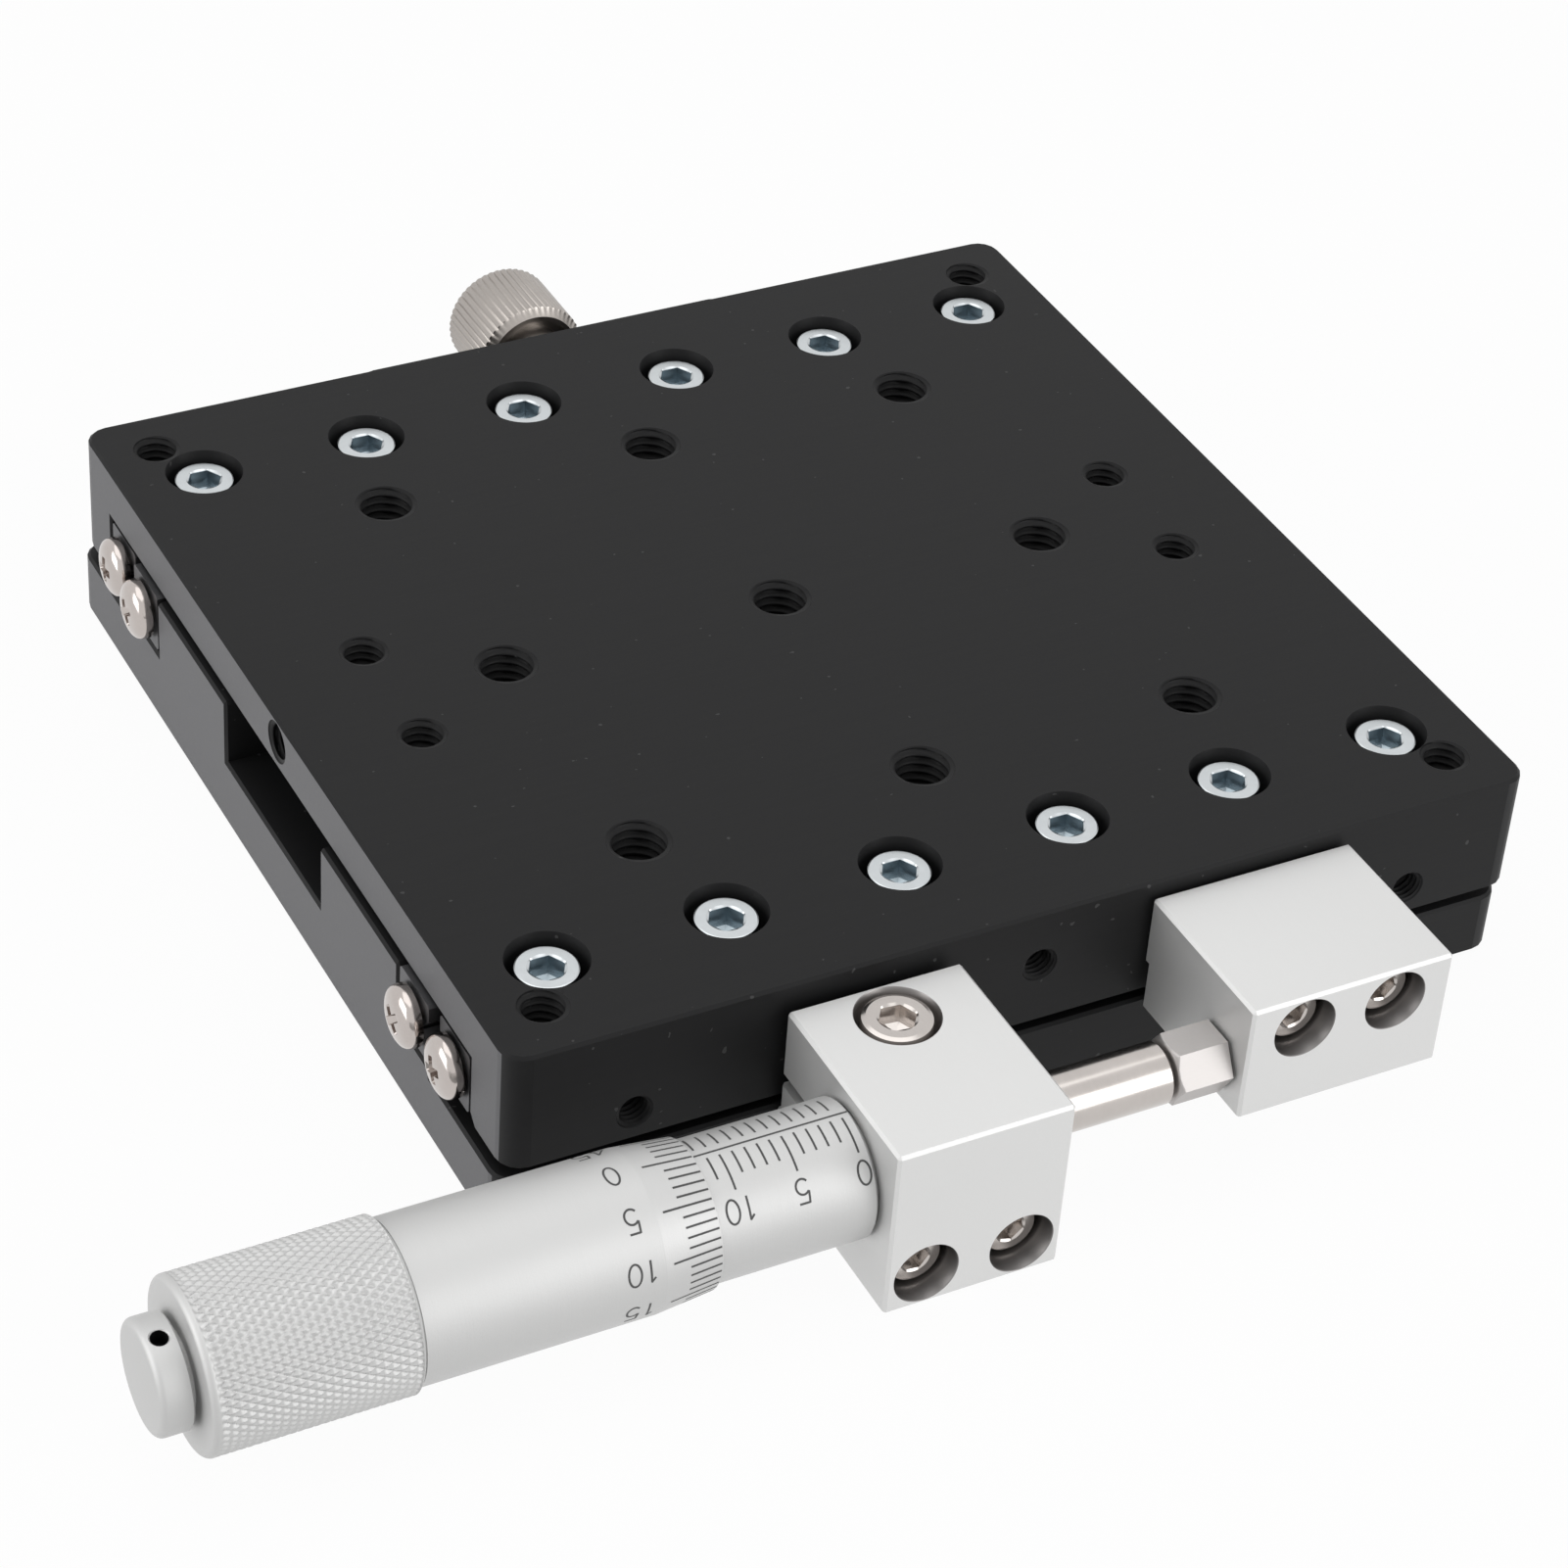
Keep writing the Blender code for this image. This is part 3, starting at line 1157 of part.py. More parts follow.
def make_spring():
    """The spring that pulls the table's anvil against the spindle."""
    curve = bpy.data.curves.new("return_spring", "CURVE")
    curve.dimensions = "3D"
    curve.bevel_depth = SPRING_WIRE_RADIUS
    curve.bevel_resolution = 2
    curve.use_fill_caps = True
    points = spring_points()
    spline = curve.splines.new("POLY")
    spline.points.add(len(points) - 1)
    for point, place in zip(spline.points, points):
        point.co = (*place, 1.0)
    spring = bpy.data.objects.new("return_spring", curve)
    curve.materials.append(STEEL)
    PARTS.objects.link(spring)
    spring.parent = BASE


def make_stage():
    """Model every sub-part."""
    make_base_plate()
    make_table_plate()
    make_rails()
    make_rail_screws()
    make_rail_end_screws()
    make_cage("roller_cage_front", -1)
    make_cage("roller_cage_rear", 1)
    make_micrometer_block()
    make_anvil_block()
    make_anvil_screw()
    make_block_screws()
    make_sleeve()
    make_spindle()
    make_thimble()
    make_end_cap()
    make_lock_plate()
    make_lock_plate_screws()
    make_lock_knob()
    make_spring_posts()
    make_spring()


clear_scene()
PARTS = make_collection("linear_translation_stage")
CUTTERS = make_collection("cutters")
BLACK = make_finish("black_anodised", (0.028, 0.028, 0.03), 0.6, 0.42)
SATIN = make_finish("satin_aluminium", (0.72, 0.72, 0.72), 0.9, 0.38)
STAINLESS = make_finish("stainless_steel", (0.62, 0.59, 0.56), 1.0, 0.25)
ZINC = make_finish("zinc_plated_steel", (0.66, 0.7, 0.74), 1.0, 0.3)
NICKEL = make_finish("nickel_plated_steel", (0.74, 0.71, 0.67), 1.0, 0.18)
STEEL = make_finish("ground_steel", (0.5, 0.5, 0.52), 1.0, 0.3)
BRASS = make_finish("brass_cage", (0.7, 0.55, 0.3), 1.0, 0.35)
BASE = make_carrier("stage_base", (0.0, 0.0, 0.0))
TABLE = make_carrier("table_slide", (TABLE_X, 0.0, 0.0))
CAGES = make_carrier("cage_slide", (CAGE_X, 0.0, 0.0))
MIC_AXIS = make_carrier("micrometer_axis", (0.0, AXIS_Y, AXIS_Z))
LOCK_AXIS = make_carrier("lock_axis", (0.0, SIDE_Y, LOCK_Z), TABLE)
make_stage()
bpy.context.view_layer.update()
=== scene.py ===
"""Looks of a crossed-roller linear translation stage with a side micrometer head.

Metres, +Z up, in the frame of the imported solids. +X is the travel and +Y the back.
Every piece is a surface worked out from two parameters, or a copy of a solid with
rounder holes, and rides on the body that carries it.
"""

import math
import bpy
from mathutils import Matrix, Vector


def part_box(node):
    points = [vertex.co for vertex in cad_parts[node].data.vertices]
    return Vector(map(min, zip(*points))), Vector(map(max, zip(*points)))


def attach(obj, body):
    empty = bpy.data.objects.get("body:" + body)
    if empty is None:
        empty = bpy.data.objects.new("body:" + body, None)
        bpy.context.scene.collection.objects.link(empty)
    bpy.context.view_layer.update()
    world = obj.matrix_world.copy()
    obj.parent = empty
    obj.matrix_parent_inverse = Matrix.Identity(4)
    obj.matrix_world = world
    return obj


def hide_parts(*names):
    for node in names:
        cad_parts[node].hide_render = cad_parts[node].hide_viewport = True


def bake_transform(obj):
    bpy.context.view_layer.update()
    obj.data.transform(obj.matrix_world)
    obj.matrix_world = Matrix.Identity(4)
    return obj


bl_info = {
    "name": "Linear translation stage",
    "version": (1, 0, 0),
    "blender": (4, 5, 0),
    "location": "View3D > Sidebar > Linear Stage",
    "description": "Dresses the solids of a linear translation stage with their finishes",
    "category": "Object",
}

from collections import namedtuple

import bmesh
import bpy
import numpy as np
from bpy.props import FloatProperty, FloatVectorProperty, IntProperty, PointerProperty
from mathutils import Matrix, Vector

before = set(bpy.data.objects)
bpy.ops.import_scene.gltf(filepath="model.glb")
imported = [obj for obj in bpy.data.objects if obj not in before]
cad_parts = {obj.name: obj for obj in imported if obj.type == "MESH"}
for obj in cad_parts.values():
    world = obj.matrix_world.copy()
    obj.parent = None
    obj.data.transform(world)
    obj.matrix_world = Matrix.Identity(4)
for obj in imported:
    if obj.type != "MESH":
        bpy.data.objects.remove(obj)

# A millimetre, the distance at which doubles merge, and the height of a mark over its surface
MM = 0.001
MERGE = 0.001 * MM
LIFT = 0.012 * MM

# Faces that a solid's copy joins, by the angle between them in degrees, and faces that are
# shaded flat, by how squarely they look along an axis and by their area
JOIN_ANGLE = 0.5
SQUARELY = 0.9999
LARGE_FACE = 2 * MM * MM
SIDES = ("left", "right")

# Directions of a turned piece: across, up and along its axis
TO_RIGHT = np.array(((0.0, -1.0, 0.0), (0.0, 0.0, 1.0), (1.0, 0.0, 0.0)))
TO_LEFT = np.array(((0.0, -1.0, 0.0), (0.0, 0.0, 1.0), (-1.0, 0.0, 0.0)))
TO_BACK = np.array(((1.0, 0.0, 0.0), (0.0, 0.0, 1.0), (0.0, 1.0, 0.0)))
TO_FRONT = np.array(((1.0, 0.0, 0.0), (0.0, 0.0, 1.0), (0.0, -1.0, 0.0)))
UPWARDS = np.array(((1.0, 0.0, 0.0), (0.0, 1.0, 0.0), (0.0, 0.0, 1.0)))
DOWNWARDS = np.array(((1.0, 0.0, 0.0), (0.0, 1.0, 0.0), (0.0, 0.0, -1.0)))


def span(node):
    """The lowest and highest corner of a CAD node, as arrays."""
    low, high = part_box(node)
    return np.array(low), np.array(high)


def middle(node):
    """The centre of a CAD node's box."""
    low, high = span(node)
    return (low + high) / 2


# Places taken from the solids
SPINDLE_LOW, SPINDLE_HIGH = span("micrometer_spindle")
AXIS = np.array((0.0, *middle("micrometer_spindle")[1:]))
SLEEVE_LOW, SLEEVE_HIGH = span("micrometer_sleeve")
THIMBLE_LOW, THIMBLE_HIGH = span("micrometer_thimble")
CAP_LOW, CAP_HIGH = span("micrometer_end_cap")
TABLE_LOW, TABLE_HIGH = span("table_plate")
TABLE_X = (TABLE_LOW[0] + TABLE_HIGH[0]) / 2
TOP_Z = TABLE_HIGH[2]
SIDE_FACE_X = min(TABLE_HIGH[0], span("base_plate")[1][0])
TABLE_CAP_SCREWS = [f"table_rail_screw_{number:02d}" for number in range(1, 13)]
BASE_CAP_SCREWS = [f"base_rail_screw_{number:02d}" for number in range(1, 13)]
TABLE_SCREW_TOP = span(TABLE_CAP_SCREWS[0])[1][2]
BASE_SCREW_FOOT = span(BASE_CAP_SCREWS[0])[0][2]

# Depths of two painted bands: of the painted side light at a plate's ends, and of a screw's outer face,
# below which the screw is painted in shade
SIDE_LIGHT_BAND = 0.6 * MM
OUTER_FACE = 0.1 * MM

# Tapped holes: pitches of the patterns, radii at the mouth, pitches of the threads and depths
GRID_PITCH = 25.0 * MM
GRID_MOUTH = 2.55 * MM
GRID_THREAD = 0.8 * MM
PAIR_PITCH_X = 70.0 * MM
PAIR_PITCH_Y = 12.0 * MM
PAIR_MOUTH = 1.95 * MM
PAIR_THREAD = 0.7 * MM
CORNER_PITCH = 80.0 * MM
CORNER_MOUTH = 2.01 * MM
CORNER_THREAD = 0.7 * MM
CORNER_DEPTH = 4.0 * MM
CORNER_SPARE = 0.7 * MM
FRONT_HOLE_REACH = 34.5 * MM
FRONT_HOLE_Z = 9.2 * MM
MIDDLE_HOLE_Z = 12.3 * MM
FRONT_MOUTH = 1.45 * MM
FRONT_THREAD = 0.5 * MM
SIDE_HOLE_Z = TOP_Z - 2.2 * MM
SIDE_MOUTH = 1.75 * MM
SIDE_THREAD = 0.6 * MM
WEB = 4.75 * MM
BLIND_DEPTH = 3.6 * MM
SPARE = 0.5 * MM
THREAD_HEIGHT = 0.5
THREAD_STEEPNESS = 1.3
THREAD_FLAT = 0.1
THREAD_ROWS = 8
DRILL_POINT = 0.3

# Seats of the cap screws' heads
SEAT_RADIUS = 3.31 * MM
SEAT_DEPTH = 3.75 * MM
SEAT_CHAMFER = 0.025 * MM
BLOCK_SEAT_RADIUS = 2.66 * MM
BLOCK_MOUTH = 0.08 * MM
CLAMP_SEAT_DEPTH = 2.6 * MM

# Cap screws: height of the head, its bevel, width and depth of the socket, and how much smaller
# the head is than its solid's
CapScrew = namedtuple("CapScrew", "material slot head bevel socket depth trim")
RAIL_SCREW = CapScrew("zinc", "zinc_plated_steel", 3.0 * MM, 0.14 * MM, 2.6 * MM, 1.5 * MM, 0.18 * MM)
BLOCK_SCREW = CapScrew("stainless", "stainless_steel", 2.5 * MM, 0.25 * MM, 2.1 * MM, 1.3 * MM, 0.0)
CLAMP_SCREW = CapScrew(
    "stainless", "stainless_steel", 2.5 * MM, 0.45 * MM, 2.7 * MM, 1.4 * MM, 0.15 * MM
)
SHANK_SHARE = 0.55
FOOT_BEVEL = 0.1 * MM
SOCKET_MARGIN = 0.06 * MM
SOCKET_BEVEL = 0.12 * MM
SOCKET_EASE = 0.01 * MM
SOCKET_FLOOR = 0.7
SOCKET_POINT = 0.4 * MM
GOLDEN_STEP = 618.0

# Pan screws: shares of the head's height and, in the cross, of its radius, then the screws in
# the rails' ends with the turn of each cross in radians, and those of the lock plate
PAN_RIM = 0.25
CROWN_POWER = 2.7
CROSS_MOUTH = (0.46, 0.14)
CROSS_FLOOR = (0.3, 0.11)
CROSS_EDGE_HEIGHT = 0.4
CROSS_FLOOR_HEIGHT = 0.32
END_SOLID_HEAD = 2.0 * MM
END_HEAD = 1.6 * MM
END_TRIM = 0.1 * MM
END_SHANK = 0.9 * MM
END_TURNS = (("front", 0.35), ("rear", 0.12))
BASE_END_TURN = 0.4
LOCK_SCREW_HEAD = 1.4 * MM
LOCK_SCREW_SHANK = 1.0 * MM

# Sleeve and spindle
SHOULDER_X = span("micrometer_block")[0][0] - 0.3 * MM
SLEEVE_BORE = 2.8 * MM
STEM_RADIUS = 4.75 * MM
SLEEVE_BEVEL = 0.3 * MM
SHOULDER_BEVEL = 0.15 * MM
SPINDLE_BEVEL = 0.2 * MM
ANVIL_END_BEVEL = 0.25 * MM

# Sleeve scale, with its angles round the axis from the front, in degrees
ZERO_X = SHOULDER_X - 0.8 * MM
FULL_SCALE = 25
DATUM_END_X = SLEEVE_LOW[0] + 6.0 * MM
DATUM_ANGLE = 91.0
MARK_ANGLE = 86.0
SHORT_MARK_END = 65.5
LONG_MARK_END = 54.0
HALF_MARK_START = 98.0
HALF_MARK_END = 118.0
SLEEVE_NUMBER_ANGLE = 38.0
MARK_INSET = 0.1 * MM

# Thimble, its scale and its grip
THIMBLE_CAVITY = 5.7 * MM
THIMBLE_RIM = THIMBLE_CAVITY + 0.1 * MM
RIM_BEVEL = 0.03 * MM
THIMBLE_DIVISIONS = 50
FIRST_MARK_ANGLE = 88.5
LONG_MARK = 4.1 * MM
SHORT_MARK = 2.7 * MM
THIMBLE_NUMBER_PLACE = 6.5 * MM
GRIP_START_X = THIMBLE_LOW[0] + 15.7 * MM
GRIP_STEP = 0.4 * MM
GRIP_BORE = 5.9 * MM
GRIP_ROUNDING = 0.5 * MM
GRIP_GROOVE_WIDTH = 0.25 * MM
GRIP_GROOVE_DEPTH = 0.12 * MM
KNURL_SLANT = 30.0
KNURL_ROWS = 170
KNURL_STEPS = 8
KNURL_LAND = 0.36
KNURL_START = 0.12 * MM
KNURL_END = 0.55 * MM
KNURL_START_FADE = 0.1 * MM
KNURL_END_FADE = 0.2 * MM

# End cap
CAP_RIM_X = CAP_LOW[0] + 2.45 * MM
CAP_ROUNDING = 0.55 * MM
CAP_BEVEL = 0.15 * MM
CAP_NECK = 3.1 * MM
PIN_HOLE_X = CAP_LOW[0] + 1.23 * MM
PIN_HOLE_ANGLE = 80.0
PIN_HOLE_RADIUS = 0.66 * MM
PIN_HOLE_DEPTH = 1.6 * MM
PIN_HOLE_LEDGE = 0.1 * MM
PIN_HOLE_BEVEL = 0.14 * MM

# Hexagon anvil screw
ANVIL_FLATS = 5.0 * MM
ANVIL_LENGTH = 4.6 * MM
ANVIL_SHANK = 1.5 * MM
ANVIL_BEVEL_LENGTH = 0.6 * MM
ANVIL_BEVEL_DEPTH = 0.12 * MM
ANVIL_BEVEL_ANGLE = 32.0
ANVIL_SIDES = 96

# Lock knob
KNOB_LENGTH = 8.1 * MM
KNOB_GROOVE = 0.17 * MM
KNOB_THREAD = 2.0 * MM
KNOB_COLLAR = 3.0 * MM
KNOB_COLLAR_LENGTH = 2.7 * MM
KNOB_RECESS = 0.7 * MM
KNOB_RECESS_RADIUS = 3.75 * MM
KNOB_SHARPNESS = 0.6
KNOB_TIP_BEVEL = 0.3 * MM
KNOB_COLLAR_BEVEL = 0.15 * MM
KNOB_RECESS_BEVEL = 0.1 * MM
KNOB_BACK_BEVEL = (0.5 * MM, 0.75 * MM)
KNOB_RIDGE_STEP = (0.6 * MM, 0.21 * MM)
KNOB_BEVEL = 0.4 * MM
KNOB_BEVEL_BEND = (0.25 * MM, 0.08 * MM)
KNOB_DISH = 3.4 * MM
KNOB_DISH_DEPTH = 0.5 * MM
KNOB_DISH_BEVEL = 0.2 * MM

# Return spring
WIRE_RADIUS = 0.3 * MM
WIRE_SIDES = 8
COIL_RADIUS = 2.3 * MM
COIL_TURNS = 42
COIL_STEPS = 20
COIL_END_SHARE = 0.25
HOOK_RADIUS = 1.7 * MM
HOOK_STEPS = 18
HOOK_REACH = 4.6 * MM
BASE_HOOK = (330.0, 40.0)
TABLE_HOOK = (140.0, -150.0)

# Studio: lamps by name, with their place, width and power, then the camera as it stood
LAMPS = {
    "top_light": ((-0.05, 0.05, 0.62), 0.6, 1.0),
    "front_light": ((0.40, -0.60, 0.25), 0.5, 2.0),
    "left_light": ((-0.60, 0.05, 0.22), 0.45, 1.4),
}
LAMP_TARGET = (0.0, -0.005, 0.01)
FLOOR_REACH = 3.0
FLOOR_Z = -0.2 * MM
FLOOR_GLOW = 0.95
WORLD_LIGHT = 0.35
CAMERA_PLACE = (-0.148788, -0.264491, 0.230658)
CAMERA_AZIMUTH = math.radians(29.7309)
CAMERA_ELEVATION = math.radians(37.457)
CAMERA_ROLL = math.radians(4.4663)
CAMERA_LENS = 101.968
SENSOR_WIDTH = 36.0

# Sockets, by their places in their nodes
NORMAL_SOCKET = 1
OBJECT_SOCKET = 3
CAMERA_RAY = 0
GLOSSY_RAY = 3
TRANSMISSION_RAY = 6
MIX_SHARE = 0
MIX_FIRST = 6
MIX_SECOND = 7
MIX_COLOUR = 2


class StageLooks(bpy.types.PropertyGroup):
    """Sizes and colours of the plates, the blocks and their screws."""

    plate_colour: FloatVectorProperty(
        name="Plate colour",
        description="Black anodised face of the table and the base",
        subtype="COLOR",
        default=(0.012, 0.012, 0.0125),
    )
    block_colour: FloatVectorProperty(
        name="Block colour",
        description="Satin aluminium of the micrometer block and the anvil block",
        subtype="COLOR",
        default=(0.70, 0.70, 0.695),
    )
    mouth_chamfer: FloatProperty(
        name="Mouth chamfer",
        description="Width of the bevel at the mouth of a hole",
        unit="LENGTH",
        default=0.1 * MM,
    )
    hole_sides: IntProperty(
        name="Hole sides",
        description="Sides of each round hole",
        default=64,
    )


class MicrometerLooks(bpy.types.PropertyGroup):
    """Sizes and colours of the micrometer head and of the lock knob."""

    head_colour: FloatVectorProperty(
        name="Head colour",
        description="Satin aluminium of the sleeve, the thimble and the end cap",
        subtype="COLOR",
        default=(0.58, 0.58, 0.576),
    )
    mark_colour: FloatVectorProperty(
        name="Mark colour",
        description="Colour of the filled scale marks",
        subtype="COLOR",
        default=(0.06, 0.06, 0.06),
    )
    mark_width: FloatProperty(
        name="Mark width",
        description="Width of a scale mark",
        unit="LENGTH",
        default=0.165 * MM,
    )
    digit_height: FloatProperty(
        name="Digit height",
        description="Height of the numbers on both scales",
        unit="LENGTH",
        default=1.8 * MM,
    )
    bevel_length: FloatProperty(
        name="Bevel length",
        description="Length of the thimble's bevelled rim, which carries its marks",
        unit="LENGTH",
        default=4.7 * MM,
    )
    knurl_count: IntProperty(
        name="Knurl count",
        description="Grooves of each slant round the grip",
        default=58,
    )
    knurl_depth: FloatProperty(
        name="Knurl depth",
        description="Depth of the diamond knurl's grooves",
        unit="LENGTH",
        default=0.2 * MM,
    )
    knob_ridges: IntProperty(
        name="Knob ridges",
        description="Straight ridges round the lock knob",
        default=48,
    )


# Shader maths


class Wire:
    """A shader socket that Python's operators add Math nodes to."""

    def __init__(self, sheet, socket):
        self.sheet = sheet
        self.socket = socket

    def maths(self, operation, first, second):
        """The result of a Math node on two values or wires."""
        return self.sheet.node("ShaderNodeMath", {"operation": operation}, [first, second])[0]

    def __add__(self, other):
        return self.maths("ADD", self, other)

    def __radd__(self, other):
        return self.maths("ADD", other, self)

    def __sub__(self, other):
        return self.maths("SUBTRACT", self, other)

    def __rsub__(self, other):
        return self.maths("SUBTRACT", other, self)

    def __mul__(self, other):
        return self.maths("MULTIPLY", self, other)

    def __rmul__(self, other):
        return self.maths("MULTIPLY", other, self)

    def over(self, edge):
        """1 where the value is above an edge, else 0."""
        return self.maths("GREATER_THAN", self, edge)


class Sheet:
    """The node tree of a material or of the world."""

    def __init__(self, owner, shader="Principled BSDF"):
        owner.use_nodes = True
        self.tree = owner.node_tree
        self.shader = self.tree.nodes[shader]

    def node(self, kind, settings=(), inputs=()):
        """Add a node with its settings, join or set its inputs, and return its outputs."""
        added = self.tree.nodes.new(kind)
        for key, value in dict(settings).items():
            setattr(added, key, value)
        pairs = inputs.items() if isinstance(inputs, dict) else enumerate(inputs)
        for key, value in pairs:
            self.put(added.inputs[key], value)
        return [Wire(self, output) for output in added.outputs]

    def put(self, socket, value):
        """Link a socket to a wire, or give it a plain value."""
        if isinstance(value, Wire):
            self.tree.links.new(value.socket, socket)
        else:
            socket.default_value = value

    def set(self, values):
        """Give the shader's sockets their values or wires."""
        for key, value in values.items():
            self.put(self.shader.inputs[key], value)

    def seen(self):
        """1 for what the camera sees, straight, in a reflection or through glass, else 0."""
        light = self.node("ShaderNodeLightPath")
        either = light[CAMERA_RAY] + light[GLOSSY_RAY] + light[TRANSMISSION_RAY]
        return either.maths("MINIMUM", either, 1.0)

    def place(self, scale=(1.0, 1.0, 1.0)):
        """Object coordinates in millimetres, stretched along each axis."""
        at = self.node("ShaderNodeTexCoord")[OBJECT_SOCKET]
        factor = tuple(part / MM for part in scale)
        return self.node("ShaderNodeVectorMath", {"operation": "MULTIPLY"}, [at, factor])[0]

    def part(self, vector):
        """The three numbers of a vector."""
        return self.node("ShaderNodeSeparateXYZ", {}, [vector])

    def noise(self, scale, stretch=(1.0, 1.0, 1.0), detail=2.0, roughness=0.5):
        """Noise from 0 to 1, with scale its cells in a millimetre."""
        inputs = {"Vector": self.place(stretch), "Scale": scale, "Detail": detail, "Roughness": roughness}
        return self.node("ShaderNodeTexNoise", {}, inputs)[0]

    def mix(self, share, first, second):
        """A colour between two, by a share from 0 to 1."""
        settings = {"data_type": "RGBA", "clamp_factor": True}
        inputs = {MIX_SHARE: share, MIX_FIRST: first, MIX_SECOND: second}
        return self.node("ShaderNodeMix", settings, inputs)[MIX_COLOUR]

    def bump(self, height, strength, distance):
        """A normal bent by a height, with distance in metres."""
        inputs = {"Strength": strength, "Distance": distance, "Height": height}
        return self.node("ShaderNodeBump", {}, inputs)[0]


def shade(colour, factor=1.0):
    """A colour with its brightness multiplied, as the four numbers that a socket takes."""
    return (*(min(1.0, part * factor) for part in colour), 1.0)


# Finishes


def black_anodised(sheet, colour, grain, side_light_factor):
    """Matte black anodising: cutter lines along grain, a little dust, and painted side light.

    Faces that look along X at the plates' left and right ends are painted many times lighter, as painted
    light from the side.
    """
    facing = sheet.part(sheet.node("ShaderNodeTexCoord")[NORMAL_SOCKET])[0]
    across = sheet.part(sheet.place())[0]
    # Painted side light: a mask of the faces that look along X near the plates' ends
    side_lit = (facing * facing).over(0.9) * (across * across).over(((SIDE_FACE_X - SIDE_LIGHT_BAND) / MM) ** 2)
    blast = sheet.noise(9.0, detail=3.0, roughness=0.6)
    lines = sheet.noise(2.2, grain, detail=4.0, roughness=0.65)
    cloud = sheet.noise(0.035, detail=2.0)
    dust = sheet.noise(1.7, detail=0.0).over(0.86)
    grey = lines * 0.6 + cloud * 0.4
    face = sheet.mix(grey, shade(colour, 0.8), shade(colour, 1.25))
    # The colour of those ends is painted lighter by the side light factor, as painted light from the side
    end = sheet.mix(grey, shade(colour, 0.9 * side_light_factor), shade(colour, 1.1 * side_light_factor))
    sheet.set({
        "Base Color": sheet.mix(dust * 0.25, sheet.mix(side_lit, face, end), shade((0.2, 0.2, 0.2))),
        "Roughness": 0.38 + blast * 0.14 + cloud * 0.06,
        "Specular IOR Level": 0.15,
        "Normal": sheet.bump(blast * 0.6 + lines * 0.4, 0.25, 0.03 * MM),
    })


def satin_aluminium(sheet, colour, grain, shine):
    """Blasted and clear anodised aluminium: even grey-white with a fine grain."""
    blast = sheet.noise(7.0, detail=4.0, roughness=0.7)
    lines = sheet.noise(2.0, grain, detail=3.0, roughness=0.6)
    cloud = sheet.noise(0.05, detail=1.0)
    sheet.set({
        "Base Color": sheet.mix(blast * 0.5 + cloud * 0.5, shade(colour, 0.95), shade(colour, 1.05)),
        "Metallic": 0.8,
        "Roughness": shine + blast * 0.1 + lines * 0.06,
        "Normal": sheet.bump(blast * 0.7 + lines * 0.3, 0.4, 0.03 * MM),
    })


def bright_steel(sheet, colour, grain, shine):
    """Turned or plated steel: fine lines along grain and soft clouds in its shine."""
    lines = sheet.noise(3.0, grain, detail=4.0, roughness=0.6)
    cloud = sheet.noise(0.5, detail=2.0)
    sheet.set({
        "Base Color": sheet.mix(lines * 0.5 + cloud * 0.5, shade(colour, 0.9), shade(colour, 1.08)),
        "Metallic": 1.0,
        "Roughness": shine + lines * 0.08 + cloud * 0.05,
        "Normal": sheet.bump(lines, 0.2, 0.01 * MM),
    })


def zinc_plate(sheet, colour, shine):
    """Zinc plated rail screws: what lies under their outer faces, the socket and the sides in their seats,
    is painted a dark blue-grey as shade.
    """
    cloud = sheet.noise(1.2, detail=3.0)
    height = sheet.part(sheet.place())[2]
    table_face = height.over((TABLE_SCREW_TOP - OUTER_FACE) / MM)
    base_face = 1.0 - height.over((BASE_SCREW_FOOT + OUTER_FACE) / MM)
    # Painted shade: all of the screw under its outer face takes this dark blue-grey
    painted_shade = sheet.mix(cloud, shade((0.22, 0.27, 0.30)), shade((0.36, 0.41, 0.44)))
    face = sheet.mix(cloud, shade(colour, 0.92), shade(colour, 1.06))
    sheet.set({
        "Base Color": sheet.mix(table_face + base_face, painted_shade, face),
        "Metallic": 1.0,
        "Roughness": shine + cloud * 0.08,
        "Normal": sheet.bump(cloud, 0.15, 0.02 * MM),
    })


def paint_fill(sheet, colour):
    """Dark fill of an engraved mark."""
    grain = sheet.noise(14.0, detail=2.0)
    sheet.set({
        "Base Color": sheet.mix(grain, shade(colour, 0.8), shade(colour, 1.6)),
        "Roughness": 0.5 + grain * 0.2,
    })


